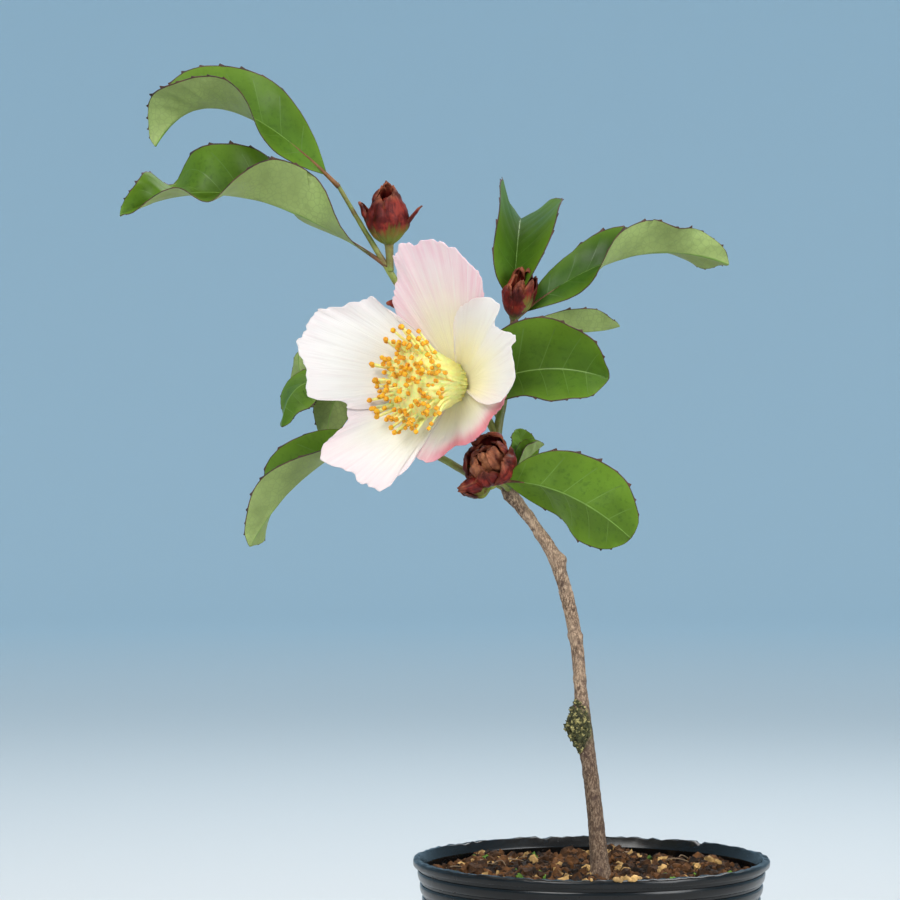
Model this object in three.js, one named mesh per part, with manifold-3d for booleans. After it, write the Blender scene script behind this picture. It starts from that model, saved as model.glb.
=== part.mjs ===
// A young stewartia bonsai in its black nursery pot: one leaning trunk, thin green boughs, sprays of
// leaves and buds, and one open flower. Millimetres, +Z up. The origin is the middle of the pot's flat
// underside, and the flower faces -Y.
import * as THREE from "three";
import { mergeVertices } from "three/addons/utils/BufferGeometryUtils.js";
import Module from "manifold-3d";

const wasm = await Module();
wasm.setup();

// Gap between pieces that touch on the real plant
const CLEARANCE = 0.3;

// Pot: a tapered plastic cup with a thick lip, ribs below it and drain holes in its floor
const POT = {
  height: 76,
  rimRadius: 45,
  footRadius: 31,
  footChamfer: 1.2,
  wall: 0.9,
  floor: 1.6,
  lipHeight: 2.4,
  lipProud: 0.9,
  ribCount: 3,
  ribPitch: 3.3,
  ribProud: 0.55,
  drainCount: 4,
  drainRadius: 4,
  drainRing: 19,
  facets: 36,
};

// Potting mix: level at the trunk, heaped in round clods elsewhere
const SOIL = { belowRim: 4.6, levelRadius: 7, heapedShare: 0.95, rings: 9, seed: 11 };
const SOIL_LEVEL = POT.height - SOIL.belowRim;
const CLODS = { count: 36, reach: 38, radius: 7, lowest: 0.8, highest: 2.8 };

// Trunk: where it passes and how thick it is there, from the soil to its fork
const TRUNK = {
  foot: { at: [2.2, -5, SOIL_LEVEL], radius: 2.8 },
  ankle: { at: [1.9, -5, 75], radius: 2.3 },
  shin: { at: [0.9, -5, 87], radius: 2.0 },
  callus: { at: [-1.5, -4.5, 107], radius: 1.9 },
  waist: { at: [-2.8, -4, 119], radius: 1.6 },
  lean: { at: [-3.9, -3, 131], radius: 1.6 },
  knuckle: { at: [-8.9, -2, 150.5], radius: 1.7 },
  neck: { at: [-14.6, -1, 160], radius: 1.35 },
  fork: { at: [-21, 0, 168.6], radius: 1.35 },
};
const TRUNK_SIDES = 10;
const CALLUS = { at: [-3.3, -5.4, 109.4], size: [2.9, 2.9, 5.2] };
const KNUCKLE = { at: [-7.6, -2, 150.8], size: [1.5, 1.4, 1.9] };

// Boughs: each one tapering limb that leaves the trunk or another bough
const BOUGHS = {
  bough_leader: [
    { at: [-21, 0, 168.6], radius: 1.2 },
    { at: [-23.6, 2.5, 180], radius: 1.15 },
    { at: [-21.9, 4, 192], radius: 1.0 },
    { at: [-20, 4, 203], radius: 0.9 },
    { at: [-19.6, 4, 210], radius: 0.85 },
  ],
  bough_upper_left: [
    { at: [-23.6, 2.7, 182], radius: 1.0 },
    { at: [-33, 6, 197], radius: 0.95 },
    { at: [-42, 5, 211], radius: 0.9 },
    { at: [-49.6, 2, 221.6], radius: 0.85 },
  ],
  bough_left: [
    { at: [-21, 0, 168.6], radius: 1.0 },
    { at: [-31, 1.5, 172.6], radius: 0.95 },
    { at: [-40, 5, 177.6], radius: 0.9 },
    { at: [-53, 10, 182], radius: 0.8 },
  ],
};
const BOUGH_SIDES = 7;
const TWIG_SIDES = 5;

// Blades: thickness, the share of the midrib that is bare stalk, facets along and across, cupping, and the
// half width at the foot
const LEAF = { thickness: 0.45, stalk: 0.05, columns: 2, cup: 12, foot: 0.3 };
const LEAF_ROWS = { fewest: 4, most: 11, apart: 4.5 };
const LEAF_STALK_RADIUS = 0.6;
const LEAF_TAPER = [1, 0.75];
const SEPAL = { thickness: 0.7, rows: 3, columns: 1, cup: 60, foot: 1 };
const SEPAL_TAPER = [0.5, 0.45];

// Sprays: a stem that starts in its limb, the leaves on it and its buds. A leaf is its midrib (root, pull of
// the arch, tip), its width, the way its upper side faces at the root, its turn about the midrib, and how
// far its left and right halves lift from flat at even steps from root to tip, in degrees.
const SPRAYS = {
  foliage_upper_left: {
    stem: [
      { at: [-49.6, 2, 221.6], radius: 0.8 },
      { at: [-56.6, 0, 233], radius: 0.65 },
      { at: [-64.2, 0, 245.9], radius: 0.55 },
    ],
    leaves: [
      {
        root: [-63.7, 0, 245], bend: [-89, -3, 278], tip: [-109.6, -6, 254.7],
        width: 24, taper: [0.75, 0.75], face: [0.1, -1, 0.1], twist: 145,
        left: [10, 15, 58, 42, 10], right: [10, 10, 50, 60, 60],
      },
      {
        root: [-51.5, 1.2, 225], bend: [-90, -4, 254], tip: [-118.2, -8, 237.1],
        width: 26, taper: [0.7, 0.55], face: [0, -0.15, 1], twist: 0,
        left: [30, 60, 68, 65, 30, -12, 24, 5, 0], right: [-25, -25, 0, 40, 72, 75, 25, 75, 60],
      },
    ],
    buds: [{ at: [-51, 1.4, 223.8], toward: [-1, -5, 22], neck: 6, length: 15.5, radius: 5.4, open: 0.15 }],
  },
  foliage_upper_right: {
    stem: [
      { at: [-19.6, 4, 210], radius: 0.8 },
      { at: [-19.4, 4, 214.5], radius: 0.7 },
    ],
    leaves: [
      {
        root: [-19.5, 4, 213.5], bend: [-18.5, 3, 236], tip: [-17, 30, 239],
        width: 25, taper: [0.8, 0.5], face: [0, -1, 0], twist: 0,
        left: [25, 40, 48, 60, 66], right: [30, 32, 28, 22, 20],
      },
      {
        root: [-19.5, 4, 211.4], bend: [10, 2, 238], tip: [34.9, 0, 225.4],
        width: 21, taper: [0.7, 0.7], face: [-0.3, -0.9, 0.2], twist: -115,
        left: [10, 10, 5, 20, 45, 50, 50, 40, 20], right: [0, 5, 5, 20, 55, 60, 35, 35, 0],
      },
      {
        root: [-19.5, 4.2, 211], bend: [-3.2, 10, 207], tip: [7.9, 12, 210.4],
        width: 13.5, face: [0, -0.2, 1], twist: 0,
        left: [30, 30, 30, 30, 10], right: [60, 65, 65, 60, 40],
      },
    ],
    buds: [{ at: [-19.5, 4, 212], toward: [1, -4.6, 5.5], neck: 2.6, length: 12, radius: 4.6, open: 0.1 }],
  },
  foliage_middle: {
    stem: [
      { at: [-31, 5.4, 194], radius: 0.6 },
      { at: [-29.5, 2.6, 193.8], radius: 0.6 },
      { at: [-28.2, 1.7, 194.3], radius: 0.6 },
    ],
    leaves: [
      {
        root: [-29.5, 2.6, 193.8], bend: [-12.8, -3, 202.4], tip: [4.2, -8, 196.4],
        width: 26.5, taper: [0.5, 0.55], face: [0.1, -1, 0.1], twist: 0,
        left: [0, 0, 0, 10, 20], right: [50, 55, 55, 45, 30],
      },
    ],
    buds: [],
  },
  foliage_low_right: {
    stem: [
      { at: [-20.4, 0, 167.8], radius: 0.9 },
      { at: [-21.6, -2.6, 169.6], radius: 0.85 },
      { at: [-23.6, -4.2, 170.6], radius: 0.8 },
    ],
    leaves: [
      {
        root: [-23.6, -4.2, 170.6], bend: [-6.9, -8, 171.6], tip: [9.5, -12, 156.6],
        width: 23, taper: [0.75, 0.5], face: [0.1, -1, 0.1], twist: 0,
        left: [0, 5, 5, 5, 10], right: [-60, -64, -60, -42, -30],
      },
    ],
    buds: [{ at: [-23.2, -4, 170.6], toward: [-3, -7, 4], neck: 1.5, length: 9.5, radius: 6, open: 0.55 }],
  },
  foliage_fork: {
    stem: [
      { at: [-20.4, 0, 167.8], radius: 0.8 },
      { at: [-18.9, 1.6, 171], radius: 0.7 },
      { at: [-18.9, 2.3, 173.4], radius: 0.65 },
    ],
    leaves: [
      {
        root: [-18.9, 2.2, 172.8], bend: [-16, 3, 177.4], tip: [-11.8, 4, 180],
        width: 8, face: [-0.6, -0.2, 0.8], twist: 0,
        left: [60, 60, 60], right: [40, 40, 40],
      },
      {
        root: [-18.9, 2.2, 172.4], bend: [-15, 8, 177], tip: [-18.6, 10, 183.8],
        width: 8, taper: [0.6, 0.5], face: [0, -1, 0], twist: 0,
        left: [10, 10, 10], right: [10, 10, 10],
      },
    ],
    buds: [],
  },
  foliage_left: {
    stem: [
      { at: [-53, 10, 182], radius: 0.75 },
      { at: [-57, 11, 186], radius: 0.7 },
      { at: [-61.4, 11, 194.2], radius: 0.6 },
    ],
    leaves: [
      {
        root: [-54.6, 10.5, 183.4], bend: [-77, 2, 172.8], tip: [-86.2, -2, 154.2],
        width: 20, taper: [0.8, 0.6], face: [-0.3, -0.1, 1], twist: 0,
        left: [10, 15, 42, 60, 60], right: [60, 80, 50, -20, -60],
      },
      {
        root: [-61.2, 11, 193.8], bend: [-77, 9, 201], tip: [-78.3, 5, 184.4],
        width: 14, taper: [0.8, 0.5], face: [-0.2, -0.1, 1], twist: 0,
        left: [-30, -40, -50, -40, -20], right: [60, 70, 20, -20, -30],
      },
      {
        root: [-61, 11, 193.6], bend: [-66, 13.5, 195.5], tip: [-67.3, 11, 180.8],
        width: 10, face: [-0.3, 1, 0.3], twist: 0,
        left: [10, 10, 10], right: [10, 10, 10],
      },
    ],
    buds: [],
  },
  foliage_back: {
    stem: [
      { at: [-22.8, 3.2, 186], radius: 0.8 },
      { at: [-26, 12, 193], radius: 0.7 },
      { at: [-30, 19, 199], radius: 0.6 },
    ],
    leaves: [
      {
        root: [-29.6, 18.4, 198.4], bend: [-40, 34, 214], tip: [-50, 46, 200],
        width: 21, taper: [0.8, 0.6], face: [-0.2, 0.2, 1], twist: 20,
        left: [25, 30, 20, 10, 0], right: [30, 40, 35, 20, 10],
      },
      {
        root: [-29.8, 18.8, 198.8], bend: [-24, 32, 212], tip: [-15, 46, 202],
        width: 22, taper: [0.8, 0.6], face: [0.2, 0.2, 1], twist: -25,
        left: [30, 40, 30, 20, 10], right: [20, 25, 30, 10, 0],
      },
      {
        root: [-27.4, 14.6, 195.2], bend: [-37, 30, 198], tip: [-43, 43, 184],
        width: 20, taper: [0.8, 0.6], face: [-0.3, 0.5, 1], twist: 10,
        left: [20, 30, 25, 15, 10], right: [25, 20, 30, 25, 10],
      },
    ],
    buds: [],
  },
};

// Flower: its seat, the way it faces, the way its stamens point, its stalk, its calyx and its stamens
const FLOWER = {
  seat: [-33.4, -8, 195.2],
  faces: [-0.5, -0.86, 0.05],
  stamensPoint: [-0.75, -0.66, 0],
  stalk: [
    { at: [-33, 6, 197], radius: 0.8 },
    { at: [-33.1, 0, 195.8], radius: 0.9 },
    { at: [-33.4, -7.6, 195.2], radius: 1.2 },
  ],
  calyxRadius: 3.6,
  calyxHeight: 2.4,
  stamens: 30,
  stamenBase: 3,
  stamenLength: 18,
  stamenSpread: 36,
  stamenRadius: 0.32,
  antherRadius: 0.85,
};

// Petals: rays from the flower's seat to a rim, on a shallow bowl. Each petal has how far it lies above the
// bowl, and its rim as angle and reach round the flower.
const PETAL = { thickness: 0.5, seat: 2.2, rows: 5, rays: 14 };
const BOWL = { radius: 30, height: 15, power: 1.2 };
const PETALS = [
  {
    above: -0.7,
    rim: [
      [54, 9], [56, 16], [58, 23], [61, 27.5], [69, 30], [78, 32.5], [88, 34], [100, 34], [107, 33.5],
      [112, 29.5], [119, 25], [126, 22.5], [130, 16], [132, 9],
    ],
  },
  {
    above: 0.6,
    rim: [
      [118, 9], [124, 17], [129, 24], [130, 27.5], [138, 29], [147, 33], [152, 35.5], [160, 36], [166, 37],
      [175, 34], [187, 33.5], [191, 27], [197, 24], [203, 13], [205, 8],
    ],
  },
  {
    above: -0.2,
    rim: [
      [190, 9], [191, 20], [194, 27], [206, 31.5], [211, 34.5], [221, 33], [232, 32.5], [243, 31], [246, 27],
      [250, 23.5], [250, 18], [250, 9],
    ],
  },
  {
    above: -1.1,
    rim: [
      [238, 9], [240, 14], [243, 18.5], [250, 20], [262, 20.5], [278, 17], [295, 17], [312, 16.5], [327, 16],
      [340, 17.5], [350, 17], [356, 12], [358, 7],
    ],
  },
  {
    above: 1.2,
    rim: [
      [-31, 5], [-28, 11], [-20, 17], [-8, 20.5], [6, 23], [19, 23], [23, 25], [30, 23], [40, 21], [44, 25.5],
      [53, 25], [69, 20.5], [78, 17.5], [81, 12], [82, 7],
    ],
  },
];

const COLOURS = {
  pot: new THREE.MeshStandardMaterial({ color: 0x16181b, roughness: 0.4, metalness: 0 }),
  soil: new THREE.MeshStandardMaterial({ color: 0x5b3d26, roughness: 1, metalness: 0 }),
  bark: new THREE.MeshStandardMaterial({ color: 0x7d6a55, roughness: 0.9, metalness: 0 }),
  bough: new THREE.MeshStandardMaterial({ color: 0x8a9a4b, roughness: 0.6, metalness: 0 }),
  leaf: new THREE.MeshStandardMaterial({ color: 0x4f7f2c, roughness: 0.5, metalness: 0 }),
  petal: new THREE.MeshStandardMaterial({ color: 0xfaf3ee, roughness: 0.7, metalness: 0 }),
};

// Small helpers
const vector = (xyz) => new THREE.Vector3(...xyz);
const radians = THREE.MathUtils.degToRad;
const mix = THREE.MathUtils.lerp;
const clamp = THREE.MathUtils.clamp;
const GOLDEN_ANGLE = Math.PI * (3 - Math.sqrt(5));

function seededRandom(seed) {
  let state = seed;
  return () => {
    state = (state * 16807) % 2147483647;
    return state / 2147483647;
  };
}

// A geometry with only its places left, and shared corners merged
function mergedGeometry(geometry) {
  const bare = new THREE.BufferGeometry();
  bare.setAttribute("position", geometry.getAttribute("position"));
  bare.setIndex(geometry.index);
  return mergeVertices(bare, 1e-4);
}

// A closed geometry as a solid, with flat triangles dropped
function solidOf(geometry) {
  const merged = mergedGeometry(geometry);
  const corners = merged.index.array;
  const kept = [];
  for (let i = 0; i < corners.length; i += 3) {
    const [a, b, c] = corners.slice(i, i + 3);
    if (a !== b && b !== c && c !== a) kept.push(a, b, c);
  }
  return new wasm.Manifold(
    new wasm.Mesh({
      numProp: 3,
      vertProperties: merged.getAttribute("position").array,
      triVerts: new Uint32Array(kept),
    }),
  );
}

// The largest body of a solid: loose scraps are dropped and sealed hollows filled
function mainBody(solid) {
  const bodies = solid.decompose();
  return bodies.reduce((best, body) => (body.volume() > best.volume() ? body : best));
}

function fused(solids) {
  return mainBody(solids.reduce((whole, solid) => whole.add(solid)));
}

function meshOf(name, solid, material) {
  const { vertProperties, triVerts } = solid.getMesh();
  const geometry = new THREE.BufferGeometry();
  geometry.setAttribute("position", new THREE.BufferAttribute(vertProperties, 3));
  geometry.setIndex(new THREE.BufferAttribute(triVerts, 1));
  geometry.computeVertexNormals();
  const mesh = new THREE.Mesh(geometry, material);
  mesh.name = name;
  return mesh;
}

// Directions across a curve, carried along it without spinning
function carriedAlong(tangents, first) {
  const across = [];
  let current = first.clone();
  for (const tangent of tangents) {
    current = current.clone().addScaledVector(tangent, -current.dot(tangent)).normalize();
    across.push(current);
  }
  return across;
}

function indexedGeometry(points, triangles) {
  const geometry = new THREE.BufferGeometry().setFromPoints(points);
  geometry.setIndex(triangles);
  return geometry;
}

// A tapering limb with flat ends, through stations that each have a place and a radius. Swelling makes it
// thicker and longer all round, for the room that is kept about it.
function limb(stations, sides, stepsBetween = 3, swell = 0) {
  const curve = new THREE.CatmullRomCurve3(stations.map((station) => vector(station.at)));
  const last = stations.length - 1;
  const rings = last * stepsBetween;
  const shares = Array.from({ length: rings + 1 }, (_, i) => i / rings);
  const tangents = shares.map((t) => curve.getTangent(t));
  const sideways = carriedAlong(tangents, new THREE.Vector3(0, -1, 0.01));
  const points = [];
  shares.forEach((t, i) => {
    const before = Math.min(Math.floor(t * last), last - 1);
    const radius = mix(stations[before].radius, stations[before + 1].radius, t * last - before) + swell;
    const other = new THREE.Vector3().crossVectors(tangents[i], sideways[i]);
    const end = Number(i === rings) - Number(i === 0);
    for (let k = 0; k < sides; k++) {
      const angle = (2 * Math.PI * k) / sides;
      const point = curve.getPoint(t).addScaledVector(tangents[i], end * swell);
      point.addScaledVector(sideways[i], radius * Math.cos(angle));
      point.addScaledVector(other, radius * Math.sin(angle));
      points.push(point);
    }
  });
  const triangles = [];
  for (let i = 0; i < rings; i++) {
    for (let k = 0; k < sides; k++) {
      const a = i * sides + k;
      const b = i * sides + ((k + 1) % sides);
      triangles.push(a, b, b + sides, a, b + sides, a + sides);
    }
  }
  for (let k = 1; k < sides - 1; k++) {
    const top = rings * sides;
    triangles.push(0, k + 1, k, top, top + k, top + k + 1);
  }
  return indexedGeometry(points, triangles);
}

function ellipsoid(at, size, around = 10, rows = 7) {
  const geometry = new THREE.SphereGeometry(1, around, rows);
  geometry.scale(...size);
  geometry.translate(...at);
  return solidOf(geometry);
}

// Share of the greatest width at a share of the length: zero at both ends
function outline(t, [rootTaper, tipTaper]) {
  const peak = rootTaper / (rootTaper + tipTaper);
  const height = (x) => x ** rootTaper * (1 - x) ** tipTaper;
  return height(t) / height(peak);
}

// Smooth run through evenly spaced values
function along(values, t) {
  const run = new THREE.SplineCurve(values.map((value, i) => new THREE.Vector2(i, value)));
  return run.getPoint(t).y;
}

// A thin closed blade along its midrib, with half its thickness to each side
function bladeGeometry(blade, { rows, columns, cup, thickness, foot, stalk = 0 }) {
  const midrib = new THREE.QuadraticBezierCurve3(vector(blade.root), vector(blade.bend), vector(blade.tip));
  const shares = Array.from({ length: rows + 1 }, (_, i) => i / rows);
  const places = shares.map((t) => mix(stalk, 1, t));
  const tangents = places.map((place) => midrib.getTangent(place));
  const facing = carriedAlong(tangents, vector(blade.face));
  const sheet = shares.map((t, i) => {
    const upward = facing[i].clone().applyAxisAngle(tangents[i], radians(blade.twist * t));
    const leftward = new THREE.Vector3().crossVectors(upward, tangents[i]);
    const half = Math.max(0.5 * blade.width * outline(t, blade.taper), foot * (t < 0.5 ? 1 : 0.15));
    return Array.from({ length: 2 * columns + 1 }, (_, j) => {
      const share = j / columns - 1;
      const lift = along(share < 0 ? blade.right : blade.left, t);
      const rise = radians(lift + cup * (Math.abs(share) - 0.5));
      const point = midrib.getPoint(places[i]);
      point.addScaledVector(leftward, half * share * Math.cos(rise));
      return point.addScaledVector(upward, half * Math.abs(share) * Math.sin(rise));
    });
  });
  return sheetGeometry(sheet, thickness);
}

function sheetGeometry(sheet, thickness) {
  const rows = sheet.length;
  const columns = sheet[0].length;
  const at = (i, j) => sheet[clamp(i, 0, rows - 1)][clamp(j, 0, columns - 1)];
  const upper = [];
  const lower = [];
  for (let i = 0; i < rows; i++) {
    for (let j = 0; j < columns; j++) {
      const along = at(i + 1, j).clone().sub(at(i - 1, j));
      const across = at(i, j + 1).clone().sub(at(i, j - 1));
      const normal = along.cross(across).normalize();
      upper.push(at(i, j).clone().addScaledVector(normal, thickness / 2));
      lower.push(at(i, j).clone().addScaledVector(normal, -thickness / 2));
    }
  }
  const below = upper.length;
  const triangles = [];
  const quad = (a, b, c, d) => triangles.push(a, b, c, a, c, d);
  for (let i = 0; i < rows - 1; i++) {
    for (let j = 0; j < columns - 1; j++) {
      const a = i * columns + j;
      quad(a, a + columns, a + columns + 1, a + 1);
      quad(below + a, below + a + 1, below + a + columns + 1, below + a + columns);
    }
  }
  const edge = [];
  for (let j = 0; j < columns; j++) edge.push(j);
  for (let i = 1; i < rows; i++) edge.push(i * columns + columns - 1);
  for (let j = columns - 2; j >= 0; j--) edge.push((rows - 1) * columns + j);
  for (let i = rows - 2; i > 0; i--) edge.push(i * columns);
  edge.forEach((a, k) => {
    const b = edge[(k + 1) % edge.length];
    quad(a, b, below + b, below + a);
  });
  return indexedGeometry([...upper, ...lower], triangles);
}

function leafSolid(leaf) {
  const midrib = new THREE.QuadraticBezierCurve3(vector(leaf.root), vector(leaf.bend), vector(leaf.tip));
  const stalk = limb(
    [
      { at: leaf.root, radius: LEAF_STALK_RADIUS },
      { at: midrib.getPoint(LEAF.stalk).toArray(), radius: LEAF_STALK_RADIUS * 0.85 },
      { at: midrib.getPoint(LEAF.stalk + 0.12).toArray(), radius: LEAF_STALK_RADIUS * 0.6 },
    ],
    TWIG_SIDES,
    1,
  );
  const evenRows = Math.round(midrib.getLength() / LEAF_ROWS.apart);
  const rows = clamp(evenRows, LEAF_ROWS.fewest, LEAF_ROWS.most);
  const blade = bladeGeometry({ taper: LEAF_TAPER, ...leaf }, { rows, ...LEAF });
  return solidOf(blade).add(solidOf(stalk));
}

// Five sepals in a frame of their own, +Z the way the bud points: they swell out and close, or flare open
function sepalGeometries(length, radius, open) {
  return Array.from({ length: 5 }, (_, k) => {
    const angle = radians(72 * k + 20);
    const outward = (distance, height) => [distance * Math.cos(angle), distance * Math.sin(angle), height];
    const blade = {
      root: outward(radius * 0.3, 0),
      bend: outward(radius * 1.6, length * 0.35),
      tip: outward(radius * (0.7 + open), length * (0.95 - 0.3 * open)),
      face: outward(-1, 0),
      twist: 0,
      width: radius * 1.6,
      taper: SEPAL_TAPER,
      left: [0, 0],
      right: [0, 0],
    };
    return bladeGeometry(blade, SEPAL);
  });
}

// A bud: a neck, a pointed egg and the sepals that clasp it
function budSolid({ at, toward, neck, length, radius, open }) {
  const way = vector(toward).normalize();
  const turn = new THREE.Quaternion().setFromUnitVectors(new THREE.Vector3(0, 0, 1), way);
  const seat = vector(at).addScaledVector(way, neck);
  const egg = new THREE.SphereGeometry(1, 7, 5);
  egg.scale(radius * 0.78, radius * 0.78, length * 0.46);
  egg.translate(0, 0, length * 0.45);
  const stalk = limb(
    [
      { at, radius: 0.8 },
      { at: seat.clone().addScaledVector(way, length * 0.2).toArray(), radius: 1.3 },
    ],
    TWIG_SIDES,
    1,
  );
  const pieces = [egg, ...sepalGeometries(length, radius, open)];
  const solids = pieces.map((piece) => solidOf(piece.applyQuaternion(turn).translate(...seat.toArray())));
  return fused([solidOf(stalk), ...solids]);
}

// What grows on the trunk and boughs is cut back by the room kept about them
function clearOf(names, solid) {
  const rooms = names.map((name) =>
    name === "trunk"
      ? limb(Object.values(TRUNK), TRUNK_SIDES, 3, CLEARANCE)
      : limb(BOUGHS[name], BOUGH_SIDES, 3, CLEARANCE),
  );
  return mainBody(rooms.reduce((rest, room) => rest.subtract(solidOf(room)), solid));
}

function boughSolid(name) {
  const names = Object.keys(BOUGHS);
  const earlier = names.slice(0, names.indexOf(name));
  return clearOf(["trunk", ...earlier], solidOf(limb(BOUGHS[name], BOUGH_SIDES)));
}

function spraySolid({ stem, leaves, buds }) {
  const pieces = [solidOf(limb(stem, TWIG_SIDES, 2)), ...leaves.map(leafSolid), ...buds.map(budSolid)];
  return clearOf(["trunk", ...Object.keys(BOUGHS)], fused(pieces));
}

// Pot wall: outside, lip, inside and floor, turned about the axis
function outerRadius(z) {
  return mix(POT.footRadius, POT.rimRadius - POT.lipProud, z / POT.height);
}

function innerRadius(z) {
  return outerRadius(z) - POT.wall;
}

function turned(profile) {
  const geometry = new THREE.LatheGeometry(
    profile.map(([r, z]) => new THREE.Vector2(r, z)),
    POT.facets,
  );
  return geometry.rotateX(Math.PI / 2);
}

function potSolid() {
  const profile = [
    [0, 0],
    [POT.footRadius - POT.footChamfer, 0],
    [outerRadius(POT.footChamfer), POT.footChamfer],
  ];
  const ribBase = POT.height - POT.lipHeight - POT.ribCount * POT.ribPitch;
  for (let rib = 0; rib < POT.ribCount; rib++) {
    const z = ribBase + rib * POT.ribPitch;
    profile.push([outerRadius(z), z]);
    profile.push([outerRadius(z) + POT.ribProud, z + POT.ribPitch * 0.3]);
    profile.push([outerRadius(z) + POT.ribProud, z + POT.ribPitch * 0.6]);
    profile.push([outerRadius(z + POT.ribPitch * 0.85), z + POT.ribPitch * 0.85]);
  }
  const lipFoot = POT.height - POT.lipHeight;
  profile.push([POT.rimRadius, lipFoot], [POT.rimRadius, POT.height]);
  profile.push([innerRadius(POT.height), POT.height], [innerRadius(POT.floor), POT.floor], [0, POT.floor]);
  let pot = solidOf(turned(profile));
  for (let hole = 0; hole < POT.drainCount; hole++) {
    const angle = (2 * Math.PI * (hole + 0.5)) / POT.drainCount;
    const drill = new THREE.CylinderGeometry(POT.drainRadius, POT.drainRadius, POT.floor * 4, 16);
    drill.rotateX(Math.PI / 2);
    drill.translate(POT.drainRing * Math.cos(angle), POT.drainRing * Math.sin(angle), 0);
    pot = pot.subtract(solidOf(drill));
  }
  return pot;
}

// Clods of the potting mix, dealt out from the middle to the wall so that they lie evenly
function soilClods() {
  const random = seededRandom(SOIL.seed);
  const clods = [];
  for (let i = 0; i < CLODS.count; i++) {
    const reach = CLODS.reach * Math.sqrt((i + 0.5) / CLODS.count);
    const turn = i * GOLDEN_ANGLE;
    const height = mix(CLODS.lowest, CLODS.highest, random());
    clods.push({ x: reach * Math.cos(turn), y: reach * Math.sin(turn), height });
  }
  return clods;
}

// How high the clods heap the mix at a place: the highest dome there, fading out at the trunk's foot
function heapedHeight(clods, x, y) {
  const [footX, footY] = TRUNK.foot.at;
  const beyond = Math.hypot(x - footX, y - footY) - SOIL.levelRadius;
  const domes = clods.map((clod) => {
    const away = Math.hypot(x - clod.x, y - clod.y) / CLODS.radius;
    return clod.height * (1 - away * away);
  });
  return Math.max(0, ...domes) * clamp(beyond / SOIL.levelRadius, 0, 1);
}

// Potting mix: fills the pot up to its level, with the clods heaped on top inside the wall
function soilSolid() {
  const clods = soilClods();
  const low = POT.floor + CLEARANCE;
  const top = SOIL_LEVEL - CLEARANCE;
  const profile = [
    [0, low],
    [innerRadius(low) - CLEARANCE, low],
  ];
  for (let ring = SOIL.rings; ring >= 0; ring--) {
    profile.push([((innerRadius(top) - CLEARANCE) * ring) / SOIL.rings, top]);
  }
  const merged = mergedGeometry(turned(profile));
  const places = merged.getAttribute("position");
  for (let i = 0; i < places.count; i++) {
    const [x, y] = [places.getX(i), places.getY(i)];
    const onTop = places.getZ(i) > top - 1e-3;
    const inside = Math.hypot(x, y) < innerRadius(top) * SOIL.heapedShare;
    if (onTop && inside) places.setZ(i, top + heapedHeight(clods, x, y));
  }
  return solidOf(merged);
}

function trunkSolid() {
  const foot = TRUNK.foot;
  const below = { at: [foot.at[0], foot.at[1], SOIL_LEVEL - 2], radius: foot.radius };
  const stem = solidOf(limb([below, ...Object.values(TRUNK)], TRUNK_SIDES));
  const ground = new THREE.BoxGeometry(40, 40, 20);
  ground.translate(0, 0, SOIL_LEVEL - 10);
  const whole = fused([stem, ellipsoid(CALLUS.at, CALLUS.size), ellipsoid(KNUCKLE.at, KNUCKLE.size)]);
  return whole.subtract(solidOf(ground));
}

// Petals and stamens stand in a frame of their own: +Z the way they point, +Y up
function petalGeometry({ above, rim }) {
  const angles = rim.map(([angle]) => angle);
  const reaches = rim.map(([, reach]) => reach);
  const at = (turn, distance) => new THREE.Vector2(Math.cos(turn), Math.sin(turn)).multiplyScalar(distance);
  const sheet = Array.from({ length: PETAL.rows + 1 }, (_, row) => {
    const out = row / PETAL.rows;
    return Array.from({ length: PETAL.rays + 1 }, (_, ray) => {
      const across = ray / PETAL.rays;
      const root = at(radians(mix(angles.at(0), angles.at(-1), across)), PETAL.seat);
      const end = at(radians(along(angles, across)), along(reaches, across));
      const flat = root.lerp(end, out);
      const height = BOWL.height * (flat.length() / BOWL.radius) ** BOWL.power + above * out;
      return new THREE.Vector3(flat.x, flat.y, height);
    });
  });
  return sheetGeometry(sheet, PETAL.thickness);
}

function stamenGeometries() {
  return Array.from({ length: FLOWER.stamens }, (_, i) => {
    const turn = i * GOLDEN_ANGLE;
    const share = Math.sqrt((i + 0.5) / FLOWER.stamens);
    const lean = radians(FLOWER.stamenSpread) * share;
    const outward = (distance, height) => [distance * Math.cos(turn), distance * Math.sin(turn), height];
    const base = FLOWER.stamenBase * share;
    const head = outward(base + FLOWER.stamenLength * Math.sin(lean), FLOWER.stamenLength * Math.cos(lean));
    const filament = limb(
      [
        { at: outward(base, 0.5), radius: FLOWER.stamenRadius },
        { at: head, radius: FLOWER.stamenRadius },
      ],
      3,
      1,
    );
    const anther = new THREE.OctahedronGeometry(FLOWER.antherRadius);
    anther.translate(...head);
    return [filament, anther];
  }).flat();
}

// Turns what points along +Z to another way, and sets it on the flower's seat
function turnedTo(way) {
  const forward = vector(way).normalize();
  const right = new THREE.Vector3(0, 0, 1).cross(forward).normalize();
  const up = new THREE.Vector3().crossVectors(forward, right);
  return new THREE.Matrix4().makeBasis(right, up, forward).setPosition(...FLOWER.seat);
}

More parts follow.
